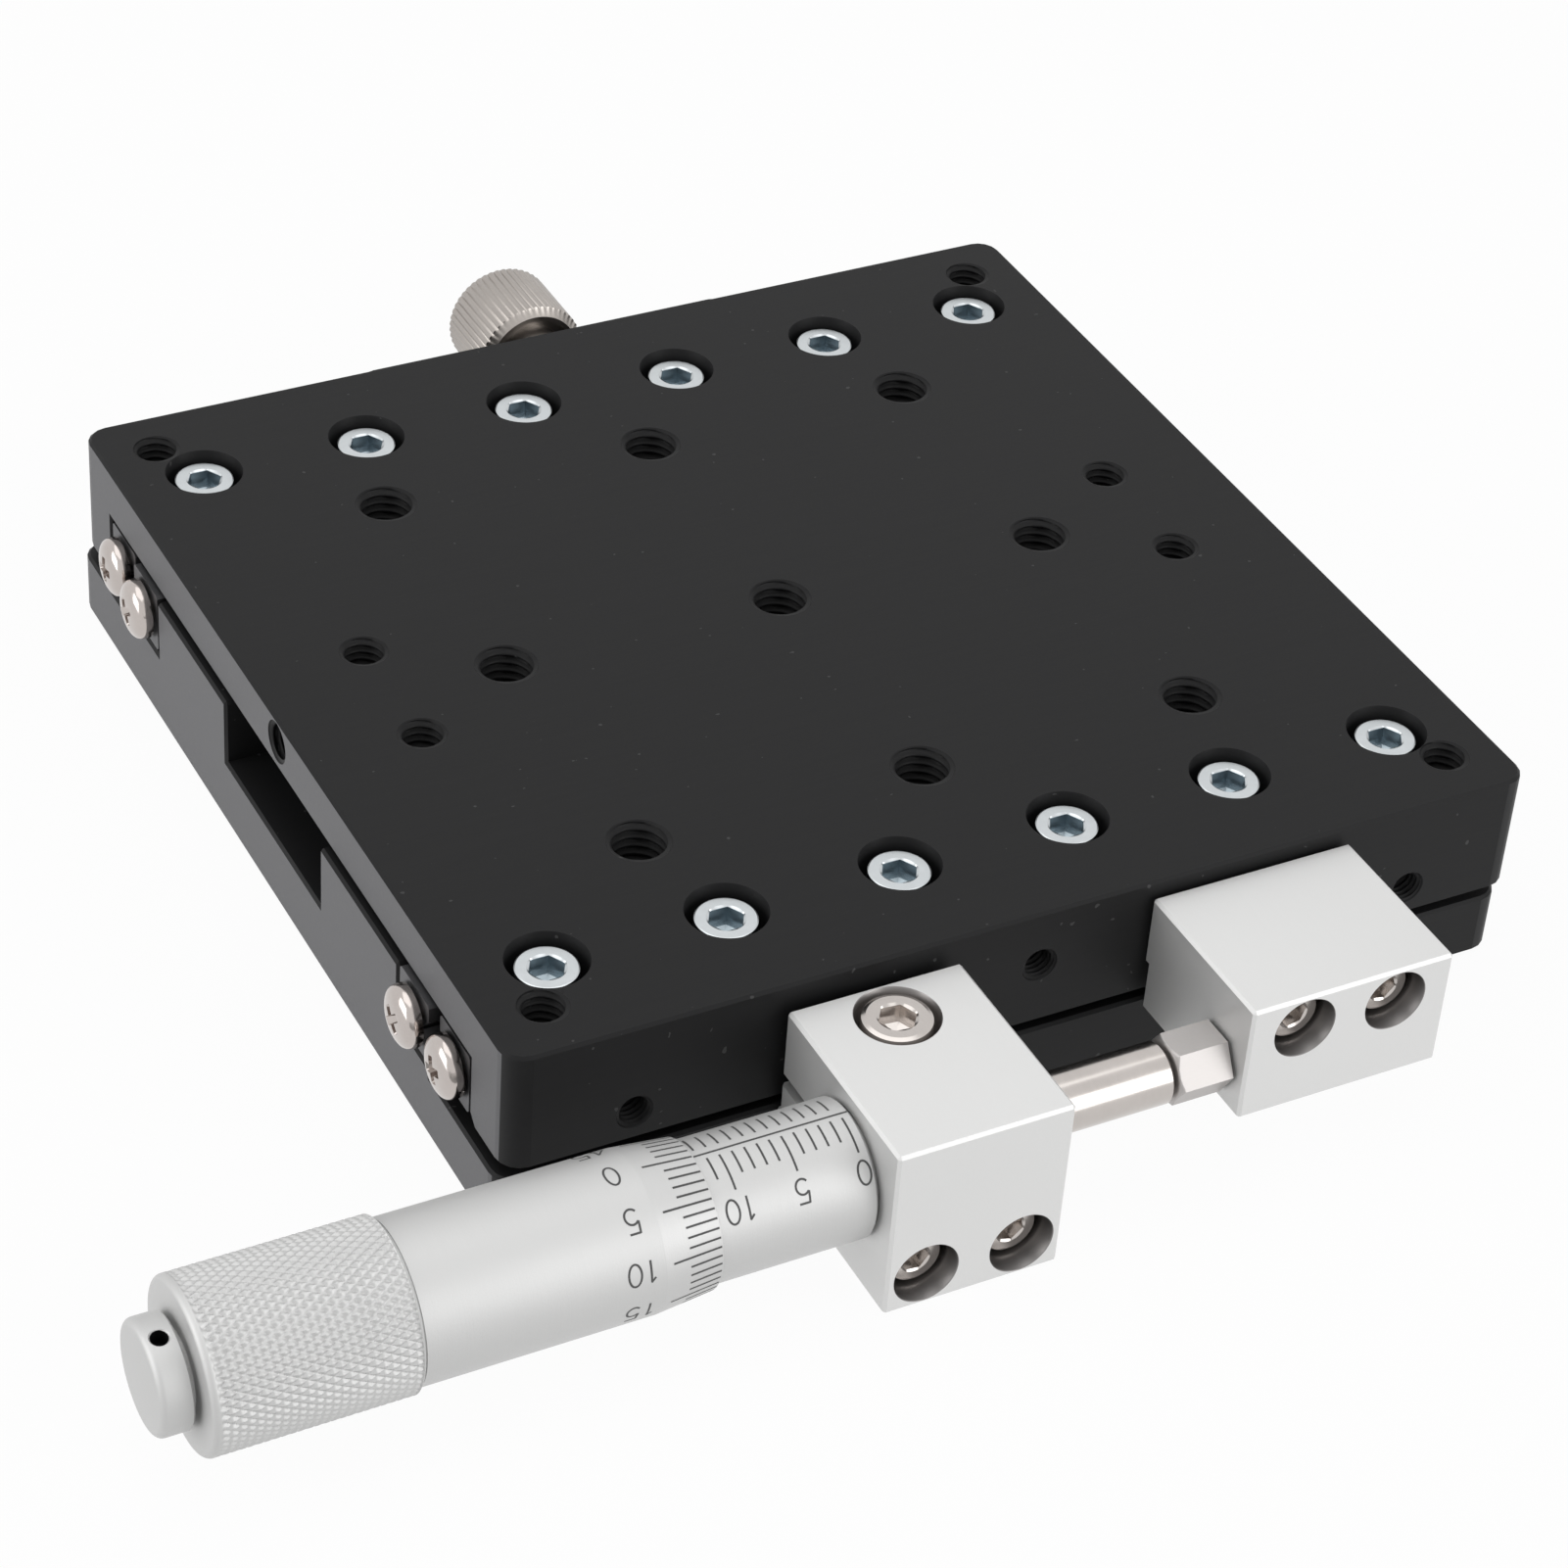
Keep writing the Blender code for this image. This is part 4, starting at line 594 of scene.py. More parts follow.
# Each finish: its maker, its colour or the setting that holds it, and what else the maker takes
FINISHES = {
    # The last number of a black finish is how many times lighter its ends along X are painted, as painted
    # side light
    "plate_black": (black_anodised, "plate_colour", (0.05, 1.0, 1.0), 12.0),
    # Black anodising of the table's holes and of the lock plate, and painted shade in the end cap's pin hole
    "bore_black": (black_anodised, "plate_colour", (1.0, 1.0, 1.0), 1.0),
    "block_satin": (satin_aluminium, "block_colour", (1.0, 0.2, 1.0), 0.46),
    "head_satin": (satin_aluminium, "head_colour", (4.0, 0.1, 0.1), 0.5),
    "stainless": (bright_steel, (0.54, 0.505, 0.48), (3.0, 0.3, 0.3), 0.13),
    "anvil_steel": (bright_steel, (0.47, 0.45, 0.44), (0.5, 2.0, 2.0), 0.42),
    "knob_stainless": (bright_steel, (0.40, 0.37, 0.345), (0.4, 3.0, 0.4), 0.26),
    "zinc": (zinc_plate, (0.60, 0.63, 0.645), 0.26),
    # Painted shade: the walls of the blocks' screw seats take a dark grey steel instead of the blocks'
    # aluminium
    "seat_grey": (bright_steel, (0.24, 0.23, 0.225), (1.0, 3.0, 1.0), 0.3),
    "nickel": (bright_steel, (0.52, 0.475, 0.45), (1.0, 1.0, 1.0), 0.08),
    "rail_steel": (bright_steel, (0.13, 0.13, 0.135), (0.1, 2.0, 2.0), 0.4),
    "spring_steel": (bright_steel, (0.5, 0.5, 0.51), (1.0, 1.0, 1.0), 0.25),
    "cage_brass": (bright_steel, (0.71, 0.55, 0.30), (0.2, 1.0, 1.0), 0.3),
    "mark_fill": (paint_fill, "mark_colour"),
}


def finish(name):
    """The finish of that name, made when it is first asked for."""
    if name not in bpy.data.materials:
        make, colour, *rest = FINISHES[name]
        for looks in (bpy.context.scene.stage_looks, bpy.context.scene.micrometer_looks):
            if isinstance(colour, str) and hasattr(looks, colour):
                colour = getattr(looks, colour)
        make(Sheet(bpy.data.materials.new(name)), colour, *rest)
    return bpy.data.materials[name]


# Surfaces


def grid_faces(rows, columns, closed=True):
    """Quads between neighbours of a grid of points, with its columns closed into a ring or not."""
    index = np.arange(rows * columns).reshape(rows, columns)
    if closed:
        index = np.hstack((index, index[:, :1]))
    corners = (index[:-1, :-1], index[1:, :-1], index[1:, 1:], index[:-1, 1:])
    return np.stack(corners, axis=-1).reshape(-1, 4)


def turns(sides):
    """Evenly spaced angles round a circle."""
    return np.arange(sides) * 2 * math.pi / sides


def turned(stations, centre, directions, sides=64):
    """Rings round an axis, at stations along it.

    A station is a place along the axis and a radius, and either may be an array of rows
    by sides. A point is centre + along * axis + radius * (cos a * across + sin a * up).
    """
    full = np.empty((1, sides))
    pairs = [
        np.broadcast_arrays(np.atleast_2d(along), np.atleast_2d(radius), full)[:2]
        for along, radius in stations
    ]
    along = np.vstack([pair[0] for pair in pairs])
    radius = np.vstack([pair[1] for pair in pairs])
    angle = turns(sides)
    points = (
        np.array(centre)
        + along[..., None] * directions[2]
        + (radius * np.cos(angle))[..., None] * directions[0]
        + (radius * np.sin(angle))[..., None] * directions[1]
    )
    return points.reshape(-1, 3), grid_faces(*radius.shape)


def spun(directions, angle):
    """The directions of a turned piece, turned by an angle about its axis."""
    across, up, axis = directions
    return np.array((
        math.cos(angle) * across + math.sin(angle) * up,
        math.cos(angle) * up - math.sin(angle) * across,
        axis,
    ))


def quarter_round(end, radius, rounding):
    """A rounded rim: from its end by one less the cosine, from its radius by one less the sine."""
    angle = np.radians(np.linspace(0.0, 90.0, 8))
    return list(zip(end + rounding * (1 - np.cos(angle)), radius - rounding * (1 - np.sin(angle))))


def hexagon(across_flats, sides):
    """Radii of a hexagon at even angles: half its width over the cosine of the turn from a flat."""
    from_flat = (turns(sides) + math.pi / 6) % (math.pi / 3) - math.pi / 6
    return across_flats / 2 / np.cos(from_flat)


def cross(length, half_width, sides):
    """Radii of a cross at even angles: the end of an arm, or its side at half_width over the sine."""
    turn = np.abs((turns(sides) + math.pi / 4) % (math.pi / 2) - math.pi / 4)
    side = half_width / np.maximum(np.sin(turn), 1e-6)
    return np.minimum(length / np.cos(turn), side)


def tube(path, radius, sides):
    """A round wire along a path: each ring lies across the path's own direction."""
    way = np.gradient(path, axis=0)
    way /= np.linalg.norm(way, axis=1)[:, None]
    steady = np.array((0.0, 0.0, 1.0)) * np.ones_like(way)
    steady[np.abs(way[:, 2]) > 0.9] = (1.0, 0.0, 0.0)
    across = np.cross(way, steady)
    across /= np.linalg.norm(across, axis=1)[:, None]
    up = np.cross(across, way)
    angle = turns(sides)[None, :, None]
    ring = path[:, None, :] + radius * (
        np.cos(angle) * across[:, None, :] + np.sin(angle) * up[:, None, :]
    )
    first = np.repeat(path[:1, None, :], sides, axis=1)
    last = np.repeat(path[-1:, None, :], sides, axis=1)
    points = np.concatenate((first, ring, last))
    return points.reshape(-1, 3), grid_faces(len(path) + 2, sides)


def join_surfaces(surfaces):
    """One list of points and one of faces from several."""
    starts = np.cumsum([0] + [len(points) for points, _ in surfaces[:-1]])
    points = np.vstack([points for points, _ in surfaces])
    faces = np.vstack([faces + start for start, (_, faces) in zip(starts, surfaces)])
    return points, faces


def to_mesh(name, surfaces, closed=True):
    """Turn surfaces into a mesh with its doubles merged and, where it is closed, its faces outward."""
    points, faces = join_surfaces(surfaces)
    mesh = bpy.data.meshes.new(name)
    mesh.from_pydata(points, [], faces.tolist())
    form = bmesh.new()
    form.from_mesh(mesh)
    bmesh.ops.remove_doubles(form, verts=form.verts, dist=MERGE)
    if closed:
        bmesh.ops.recalc_face_normals(form, faces=form.faces)
    form.to_mesh(mesh)
    form.free()
    return mesh


def add_piece(name, mesh, material, body, nodes=(), sharp=33.0):
    """Put a mesh in the scene as a piece that stands for its solids and rides on a body, if it has one."""
    if not mesh.materials:
        mesh.materials.append(finish(material))
    mesh.shade_smooth()
    mesh.set_sharp_from_angle(angle=math.radians(sharp))
    piece = bpy.data.objects.new(name, mesh)
    bpy.context.scene.collection.objects.link(piece)
    if body:
        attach(piece, body)
    if nodes:
        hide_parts(*nodes)
    return piece


def add_shape(name, surfaces, material, body, nodes=(), closed=True, sharp=33.0):
    """Make a piece from surfaces."""
    return add_piece(name, to_mesh(name, surfaces, closed), material, body, nodes, sharp)


def refined(node, cuts, material, lining, body):
    """Replace a solid with a merged copy of it, whose many-sided holes are cut round, cut by cut."""
    name = node + "_finished"
    form = bmesh.new()
    form.from_mesh(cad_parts[node].data)
    bmesh.ops.remove_doubles(form, verts=form.verts, dist=MERGE)
    bmesh.ops.dissolve_limit(form, angle_limit=math.radians(JOIN_ANGLE), verts=form.verts, edges=form.edges)
    mesh = bpy.data.meshes.new(name)
    form.to_mesh(mesh)
    form.free()
    mesh.materials.append(finish(material))
    for cutters in cuts:
        mesh = carved(mesh, cutters, lining)
    piece = add_piece(name, mesh, material, body, [node])
    flatten(piece.data)


def flatten(mesh):
    """Shade the large faces that look along an axis flat, so that rounded corners end at them."""
    count = len(mesh.polygons)
    normal = np.empty(3 * count)
    area = np.empty(count)
    mesh.polygons.foreach_get("normal", normal)
    mesh.polygons.foreach_get("area", area)
    along_axis = np.abs(normal.reshape(-1, 3)).max(axis=1) > SQUARELY
    mesh.polygons.foreach_set("use_smooth", ~(along_axis & (area > LARGE_FACE)))


def carved(mesh, cutters, lining):
    """A mesh with closed surfaces cut out of it, and a finish on the walls of the cut."""
    blank = bpy.data.objects.new("blank", mesh)
    tool = bpy.data.objects.new("tool", to_mesh("tool", cutters))
    tool.data.materials.append(finish(lining))
    for item in (blank, tool):
        bpy.context.scene.collection.objects.link(item)
    modifier = blank.modifiers.new("holes", "BOOLEAN")
    modifier.operation = "DIFFERENCE"
    modifier.solver = "EXACT"
    modifier.material_mode = "TRANSFER"
    modifier.object = tool
    bpy.context.view_layer.update()
    depsgraph = bpy.context.evaluated_depsgraph_get()
    result = bpy.data.meshes.new_from_object(blank.evaluated_get(depsgraph))
    for item in (blank, tool):
        bpy.data.objects.remove(item)
    return result


# Holes


def bore(centre, directions, radius, depth, chamfer):
    """A closed cutter for a round hole with a bevelled mouth, with its axis out of the face."""
    profile = [
        (-depth, 0.0),
        (-depth, radius),
        (-chamfer, radius),
        (0.0, radius + chamfer),
        (SPARE, radius + chamfer),
        (SPARE, 0.0),
    ]
    return turned(profile, centre, directions, bpy.context.scene.stage_looks.hole_sides)


# A tapped hole is mouth in radius and depth deep, and is bored deeper by spare
Hole = namedtuple("Hole", "place directions mouth pitch depth spare chamfer through")


def grid(pitch_x, pitch_y, count):
    """Places of an even grid on the table, centred on it."""
    places = np.arange(count) - (count - 1) / 2
    return [(TABLE_X + x * pitch_x, y * pitch_y) for x in places for y in places]


def tapped_holes(chamfer):
    """The table's tapped holes: through its top, blind in its corners, and blind in its sides."""
    holes = []
    for places, mouth, pitch in (
        (grid(GRID_PITCH, GRID_PITCH, 3), GRID_MOUTH, GRID_THREAD),
        (grid(PAIR_PITCH_X, PAIR_PITCH_Y, 2), PAIR_MOUTH, PAIR_THREAD),
    ):
        holes += [Hole((x, y, TOP_Z), UPWARDS, mouth, pitch, WEB, SPARE, chamfer, True) for x, y in places]
    for x, y in grid(CORNER_PITCH, CORNER_PITCH, 2):
        place = (x, y, TOP_Z)
        holes.append(Hole(
            place, UPWARDS, CORNER_MOUTH, CORNER_THREAD, CORNER_DEPTH, CORNER_SPARE, SEAT_CHAMFER, False,
        ))
    for x, z in (
        (TABLE_X - FRONT_HOLE_REACH, FRONT_HOLE_Z),
        (TABLE_X + FRONT_HOLE_REACH, FRONT_HOLE_Z),
        (TABLE_X, MIDDLE_HOLE_Z),
    ):
        place = (x, TABLE_LOW[1], z)
        holes.append(Hole(place, TO_FRONT, FRONT_MOUTH, FRONT_THREAD, BLIND_DEPTH, SPARE, chamfer, False))
    place = (TABLE_LOW[0], 0.0, SIDE_HOLE_Z)
    holes.append(Hole(place, TO_LEFT, SIDE_MOUTH, SIDE_THREAD, BLIND_DEPTH, SPARE, chamfer, False))
    return holes


def thread(hole):
    """The thread of a tapped hole.

    Its radius goes between the root and the crest as a triangle wave of the depth over
    the pitch less the turn, so the ridge climbs one pitch in a turn.
    """
    sides = bpy.context.scene.stage_looks.hole_sides
    height = THREAD_HEIGHT * hole.pitch
    along = np.arange(-hole.chamfer, -hole.depth, -hole.pitch / THREAD_ROWS)[:, None]
    phase = (along / hole.pitch - turns(sides) / (2 * math.pi)) % 1.0
    wave = np.abs(2 * phase - 1)
    radius = hole.mouth - height * np.clip(THREAD_STEEPNESS * wave - THREAD_FLAT, 0.0, 1.0)
    radius[0] = hole.mouth
    stations = [(along, radius), (-hole.depth, hole.mouth)]
    if not hole.through:
        stations.append((-hole.depth, hole.mouth - height))
        stations.append((-hole.depth - DRILL_POINT * hole.mouth, 0.0))
    return turned(stations, hole.place, hole.directions, sides)


# Screws


def fitted(node, directions, head):
    """The foot of a screw's head in its solid's box, the head's radius and the shank's length."""
    low, high = span(node)
    axis = int(np.argmax(np.abs(directions[2])))
    way = directions[2][axis]
    foot = (low + high) / 2
    foot[axis] = (high if way > 0 else low)[axis] - way * head
    across = 0 if axis == 2 else 2
    return foot, (high[across] - low[across]) / 2, high[axis] - low[axis] - head


def socket_screw(foot, directions, radius, length, kind, sides=72):
    """A cap screw with its head on foot. Its socket's rings take a hexagon's radii."""
    six = hexagon(kind.socket, sides)
    corner = kind.socket / math.sqrt(3)
    shank = SHANK_SHARE * radius
    stations = [
        (-length, 0.0),
        (-length, shank),
        (0.0, shank),
        (0.0, radius - FOOT_BEVEL),
        (FOOT_BEVEL, radius),
        (kind.head - kind.bevel, radius),
        (kind.head - 0.3 * kind.bevel, radius - 0.25 * kind.bevel),
        (kind.head, radius - kind.bevel),
        (kind.head, corner + SOCKET_MARGIN),
        (kind.head - SOCKET_BEVEL, np.minimum(six + SOCKET_EASE, corner)),
        (kind.head - kind.depth, six),
        (kind.head - kind.depth, SOCKET_FLOOR * six),
        (kind.head - kind.depth - SOCKET_POINT, 0.0),
    ]
    return turned(stations, foot, directions, sides)


def pan_screw(foot, directions, radius, height, shank, sides=96):
    """A pan screw with a crossed recess, its head standing on foot.

    The crown's height over a radius is that of a rounded square: one less the radius'
    share to CROWN_POWER, all to the inverse power. The rings between the rim and the
    recess go from a circle to a cross.
    """
    shank_radius, shank_length = shank
    rim = PAN_RIM * height
    mouth = cross(*(share * radius for share in CROSS_MOUTH), sides)
    floor = cross(*(share * radius for share in CROSS_FLOOR), sides)
    share = 1 - np.cos(np.linspace(0.0, math.pi / 2, 18))[:, None]
    crown_radius = radius + (mouth - radius) * share
    bulge = np.clip(1 - (crown_radius / radius) ** CROWN_POWER, 0.0, 1.0) ** (1 / CROWN_POWER)
    stations = [
        (-shank_length, 0.0),
        (-shank_length, shank_radius),
        (0.0, shank_radius),
        (0.0, radius),
        (rim + (height - rim) * bulge, crown_radius),
        (CROSS_EDGE_HEIGHT * height, floor),
        (CROSS_FLOOR_HEIGHT * height, 0.0),
    ]
    return turned(stations, foot, directions, sides)


# Marks on the micrometer head


def stroke(path, width):
    """A flat line of even width along a path: each point is moved by half the width both ways."""
    path = np.array(path, float)
    way = np.gradient(path, axis=0)
    way /= np.linalg.norm(way, axis=1)[:, None]
    side = np.stack((-way[:, 1], way[:, 0]), axis=1) * width / 2
    return np.stack((path + side, path - side), axis=1).reshape(-1, 2), len(path)


def curve(centre, radii, start, end, steps=14):
    """Points along part of an ellipse, with its angles in degrees."""
    angle = np.radians(np.linspace(start, end, steps))
    return np.stack((centre[0] + radii[0] * np.cos(angle), centre[1] + radii[1] * np.sin(angle)), axis=1)


def straight(start, end, steps=12):
    """Points along a straight line, close enough to follow a round face."""
    return np.linspace(start, end, steps)


def digit(character):
    """The lines of a digit one unit high, centred on zero."""
    shapes = {
        "0": [curve((0.0, 0.0), (0.28, 0.5), 0, 360, 36)],
        "1": [straight((-0.14, 0.3), (0.06, 0.5), 6), straight((0.04, 0.5), (0.04, -0.5))],
        "2": [
            np.vstack((curve((0.0, 0.22), (0.27, 0.28), 170, -20), straight((0.2, 0.04), (-0.28, -0.48)))),
            straight((-0.3, -0.5), (0.3, -0.5)),
        ],
        "3": [
            curve((0.0, 0.25), (0.25, 0.25), 150, -90),
            curve((0.0, -0.25), (0.28, 0.25), 90, -150),
        ],
        "4": [
            straight((0.12, -0.5), (0.12, 0.5)),
            straight((0.12, 0.5), (-0.3, -0.2)),
            straight((-0.3, -0.2), (0.3, -0.2)),
        ],
        "5": [
            straight((0.26, 0.5), (-0.2, 0.5)),
            straight((-0.2, 0.53), (-0.24, 0.02)),
            curve((0.0, -0.18), (0.29, 0.32), 142, -142, 22),
        ],
    }
    return shapes[character]


def number(text, height, width):
    """The strokes of a number, with its digits upright and its middle at zero."""
    step = 0.74 * height
    strokes = []
    for place, character in enumerate(text):
        shift = (place - (len(text) - 1) / 2) * step
        strokes += [stroke(line * height + (shift, 0.0), width) for line in digit(character)]
    return strokes


def wrapped(strokes, radius_at):
    """Lay flat strokes on the head. Their first number is the place along X, their second an angle."""
    surfaces = []
    for points, count in strokes:
        along = points[:, 0]
        angle = points[:, 1]
        radius = radius_at(along) + LIFT
        placed = np.stack(
            (along, AXIS[1] - radius * np.cos(angle), AXIS[2] + radius * np.sin(angle)), axis=1
        )
        surfaces.append((placed, grid_faces(count, 2, closed=False)))
    return surfaces


def read_from_back(strokes, along, angle, radius):
    """Place a number to be read from behind the head: its right is -X and its top goes down."""
    return [
        (np.stack((along - points[:, 0], angle - points[:, 1] / radius), axis=1), count)
        for points, count in strokes
    ]


def line_along(start, end, angle, half_turn):
    """A mark along the axis, as a strip of even width."""
    along = np.linspace(start, end, 4)
    points = np.stack((np.repeat(along, 2), np.tile((angle - half_turn, angle + half_turn), 4)), axis=1)
    return points, 4


def line_round(along, start, end, half_width):
    """A mark round the axis, between two angles in degrees."""
    angle = np.linspace(math.radians(start), math.radians(end), 8)
    points = np.stack((np.tile((along - half_width, along + half_width), 8), np.repeat(angle, 2)), axis=1)
    return points, 8


# Operators


class StageOperator:
    """What the operators share."""

    bl_options = {"REGISTER", "UNDO"}


class STAGE_OT_plates(StageOperator, bpy.types.Operator):
    """Table, base and lock plates, with round holes in the table"""

    bl_idname = "stage.plates"
    bl_label = "Plates"

    def execute(self, context):
        tapped = [
            bore(hole.place, hole.directions, hole.mouth, hole.depth + hole.spare, hole.chamfer)
            for hole in tapped_holes(context.scene.stage_looks.mouth_chamfer)
        ]
        seats = [
            bore((*middle(screw)[:2], TOP_Z), UPWARDS, SEAT_RADIUS, SEAT_DEPTH, SEAT_CHAMFER)
            for screw in TABLE_CAP_SCREWS
        ]
        refined("table_plate", [seats, tapped], "plate_black", "bore_black", "table")
        refined("base_plate", [], "plate_black", "bore_black", "root")
        refined("lock_plate", [], "bore_black", "bore_black", "root")
        return {"FINISHED"}


class STAGE_OT_threads(StageOperator, bpy.types.Operator):
    """Threads in the tapped holes of the table"""

    bl_idname = "stage.threads"
    bl_label = "Threads"

    def execute(self, context):
        surfaces = [thread(hole) for hole in tapped_holes(context.scene.stage_looks.mouth_chamfer)]
        add_shape(
            "table_threads", surfaces, "bore_black", "table", closed=False, sharp=60.0
        )
        return {"FINISHED"}


class STAGE_OT_blocks(StageOperator, bpy.types.Operator):
    """Micrometer block and anvil block"""

    bl_idname = "stage.blocks"
    bl_label = "Blocks"

    def execute(self, context):
        x, y, _ = middle("micrometer_clamp_screw")
        top = span("micrometer_block")[1][2]
        clamp_seat = bore((x, y, top), UPWARDS, SEAT_RADIUS, CLAMP_SEAT_DEPTH, BLOCK_MOUTH)
        for node, body, more in (("micrometer_block", "root", [clamp_seat]), ("anvil_block", "table", [])):
            front = span(node)[0][1]
            seats = []
            for side in SIDES:
                screw = f"{node}_screw_{side}"
                x, _, z = middle(screw)
                depth = span(screw)[0][1] + BLOCK_SCREW.head - front
                seats.append(bore((x, front, z), TO_FRONT, BLOCK_SEAT_RADIUS, depth, BLOCK_MOUTH))
            # The seat walls take the dark seat finish, as painted shade
            refined(node, [seats + more], "block_satin", "seat_grey", body)
        return {"FINISHED"}


class STAGE_OT_cap_screws(StageOperator, bpy.types.Operator):
    """Cap screws of the rails, the blocks and the clamp"""

    bl_idname = "stage.cap_screws"
    bl_label = "Cap screws"

    def execute(self, context):
        for node in TABLE_CAP_SCREWS:
            self.add(node, "table", UPWARDS, RAIL_SCREW)
        for node in BASE_CAP_SCREWS:
            self.add(node, "root", DOWNWARDS, RAIL_SCREW)
        for side in SIDES:
            self.add("micrometer_block_screw_" + side, "root", TO_FRONT, BLOCK_SCREW)
            self.add("anvil_block_screw_" + side, "table", TO_FRONT, BLOCK_SCREW)
        self.add("micrometer_clamp_screw", "root", UPWARDS, CLAMP_SCREW)
        return {"FINISHED"}

    def add(self, node, body, directions, kind):
        """Make a screw in its solid's box.

        Its socket is turned by an angle that grows by the golden ratio from one screw's
        place to the next.
        """
        foot, radius, length = fitted(node, directions, kind.head)
        x, y, _ = middle(node)
        turn = GOLDEN_STEP * (x + y) / MM % 1.0 * math.pi / 3
        surface = socket_screw(foot, spun(directions, turn), radius - kind.trim, length, kind)
        add_shape(node + "_finished", [surface], kind.material, body, [node], sharp=20.0)


class STAGE_OT_end_screws(StageOperator, bpy.types.Operator):
    """Domed screws in the ends of the rails and of the lock plate"""

    bl_idname = "stage.end_screws"
    bl_label = "End screws"

    def execute(self, context):
        for plate, body, more in (("table", "table", 0.0), ("base", "root", BASE_END_TURN)):
            for end, directions in zip(SIDES, (TO_LEFT, TO_RIGHT)):
                for where, turn in END_TURNS:
                    node = f"{plate}_rail_end_screw_{end}_{where}"
                    foot, radius, length = fitted(node, directions, END_SOLID_HEAD)
                    spin = spun(directions, turn + more)
                    surface = pan_screw(foot, spin, radius - END_TRIM, END_HEAD, (END_SHANK, length))
                    self.add(node, surface, body, "nickel_plated_steel")
        for side in SIDES:
            node = "lock_plate_screw_" + side
            foot, radius, length = fitted(node, TO_BACK, LOCK_SCREW_HEAD)
            surface = pan_screw(foot, TO_BACK, radius, LOCK_SCREW_HEAD, (LOCK_SCREW_SHANK, length))
            self.add(node, surface, "root", "stainless_steel")
        return {"FINISHED"}

    def add(self, node, surface, body, slot):
        """Put a screw in its solid's place."""
        add_shape(node + "_finished", [surface], "nickel", body, [node])


class STAGE_OT_sleeve(StageOperator, bpy.types.Operator):
    """Sleeve, spindle and the sleeve's scale"""

    bl_idname = "stage.sleeve"
    bl_label = "Sleeve and spindle"

    def execute(self, context):
        head = context.scene.micrometer_looks
        barrel = (SLEEVE_HIGH[2] - SLEEVE_LOW[2]) / 2
        profile = [
            (SLEEVE_HIGH[0], SLEEVE_BORE),
            (SLEEVE_HIGH[0], STEM_RADIUS - SLEEVE_BEVEL),
            (SLEEVE_HIGH[0] - SLEEVE_BEVEL, STEM_RADIUS),
            (SHOULDER_X, STEM_RADIUS),
            (SHOULDER_X, barrel - SHOULDER_BEVEL),
            (SHOULDER_X - SHOULDER_BEVEL, barrel),
            (SLEEVE_LOW[0] + SLEEVE_BEVEL, barrel),
            (SLEEVE_LOW[0], barrel - SLEEVE_BEVEL),
            (SLEEVE_LOW[0], SLEEVE_BORE),
            (SLEEVE_HIGH[0], SLEEVE_BORE),
        ]
        surface = turned(profile, AXIS, TO_RIGHT, 128)
        add_shape(
            "sleeve_finished", [surface], "head_satin", "root", ["micrometer_sleeve"]
        )
        radius = (SPINDLE_HIGH[2] - SPINDLE_LOW[2]) / 2
        profile = [
            (SPINDLE_LOW[0], 0.0),
            (SPINDLE_LOW[0], radius - SPINDLE_BEVEL),
            (SPINDLE_LOW[0] + SPINDLE_BEVEL, radius),
            (SPINDLE_HIGH[0] - ANVIL_END_BEVEL, radius),
            (SPINDLE_HIGH[0], radius - ANVIL_END_BEVEL),
            (SPINDLE_HIGH[0], 0.0),
        ]
        surface = turned(profile, AXIS, TO_RIGHT, 96)
        add_shape(
            "spindle_finished", [surface], "stainless", "spindle", ["micrometer_spindle"]
        )
        self.add_scale(head, barrel)
        return {"FINISHED"}

    def add_scale(self, head, barrel):
        """The datum line, a mark each half millimetre and a number each five."""
        half = head.mark_width / 2
        datum = math.radians(DATUM_ANGLE)
        strokes = [line_along(SHOULDER_X - MARK_INSET, DATUM_END_X, datum, half / barrel)]
        for mark in range(FULL_SCALE + 1):
            x = ZERO_X - mark * MM
            fifth = mark % 5 == 0
            strokes.append(line_round(x, MARK_ANGLE, LONG_MARK_END if fifth else SHORT_MARK_END, half))
            if mark < FULL_SCALE:
                strokes.append(line_round(x - 0.5 * MM, HALF_MARK_START, HALF_MARK_END, half))
            if fifth:
                flat = number(str(mark), head.digit_height, head.mark_width)
                strokes += read_from_back(flat, x, math.radians(SLEEVE_NUMBER_ANGLE), barrel)
        surfaces = wrapped(strokes, lambda along: np.full_like(along, barrel))
        add_shape("sleeve_scale", surfaces, "mark_fill", "root", closed=False)


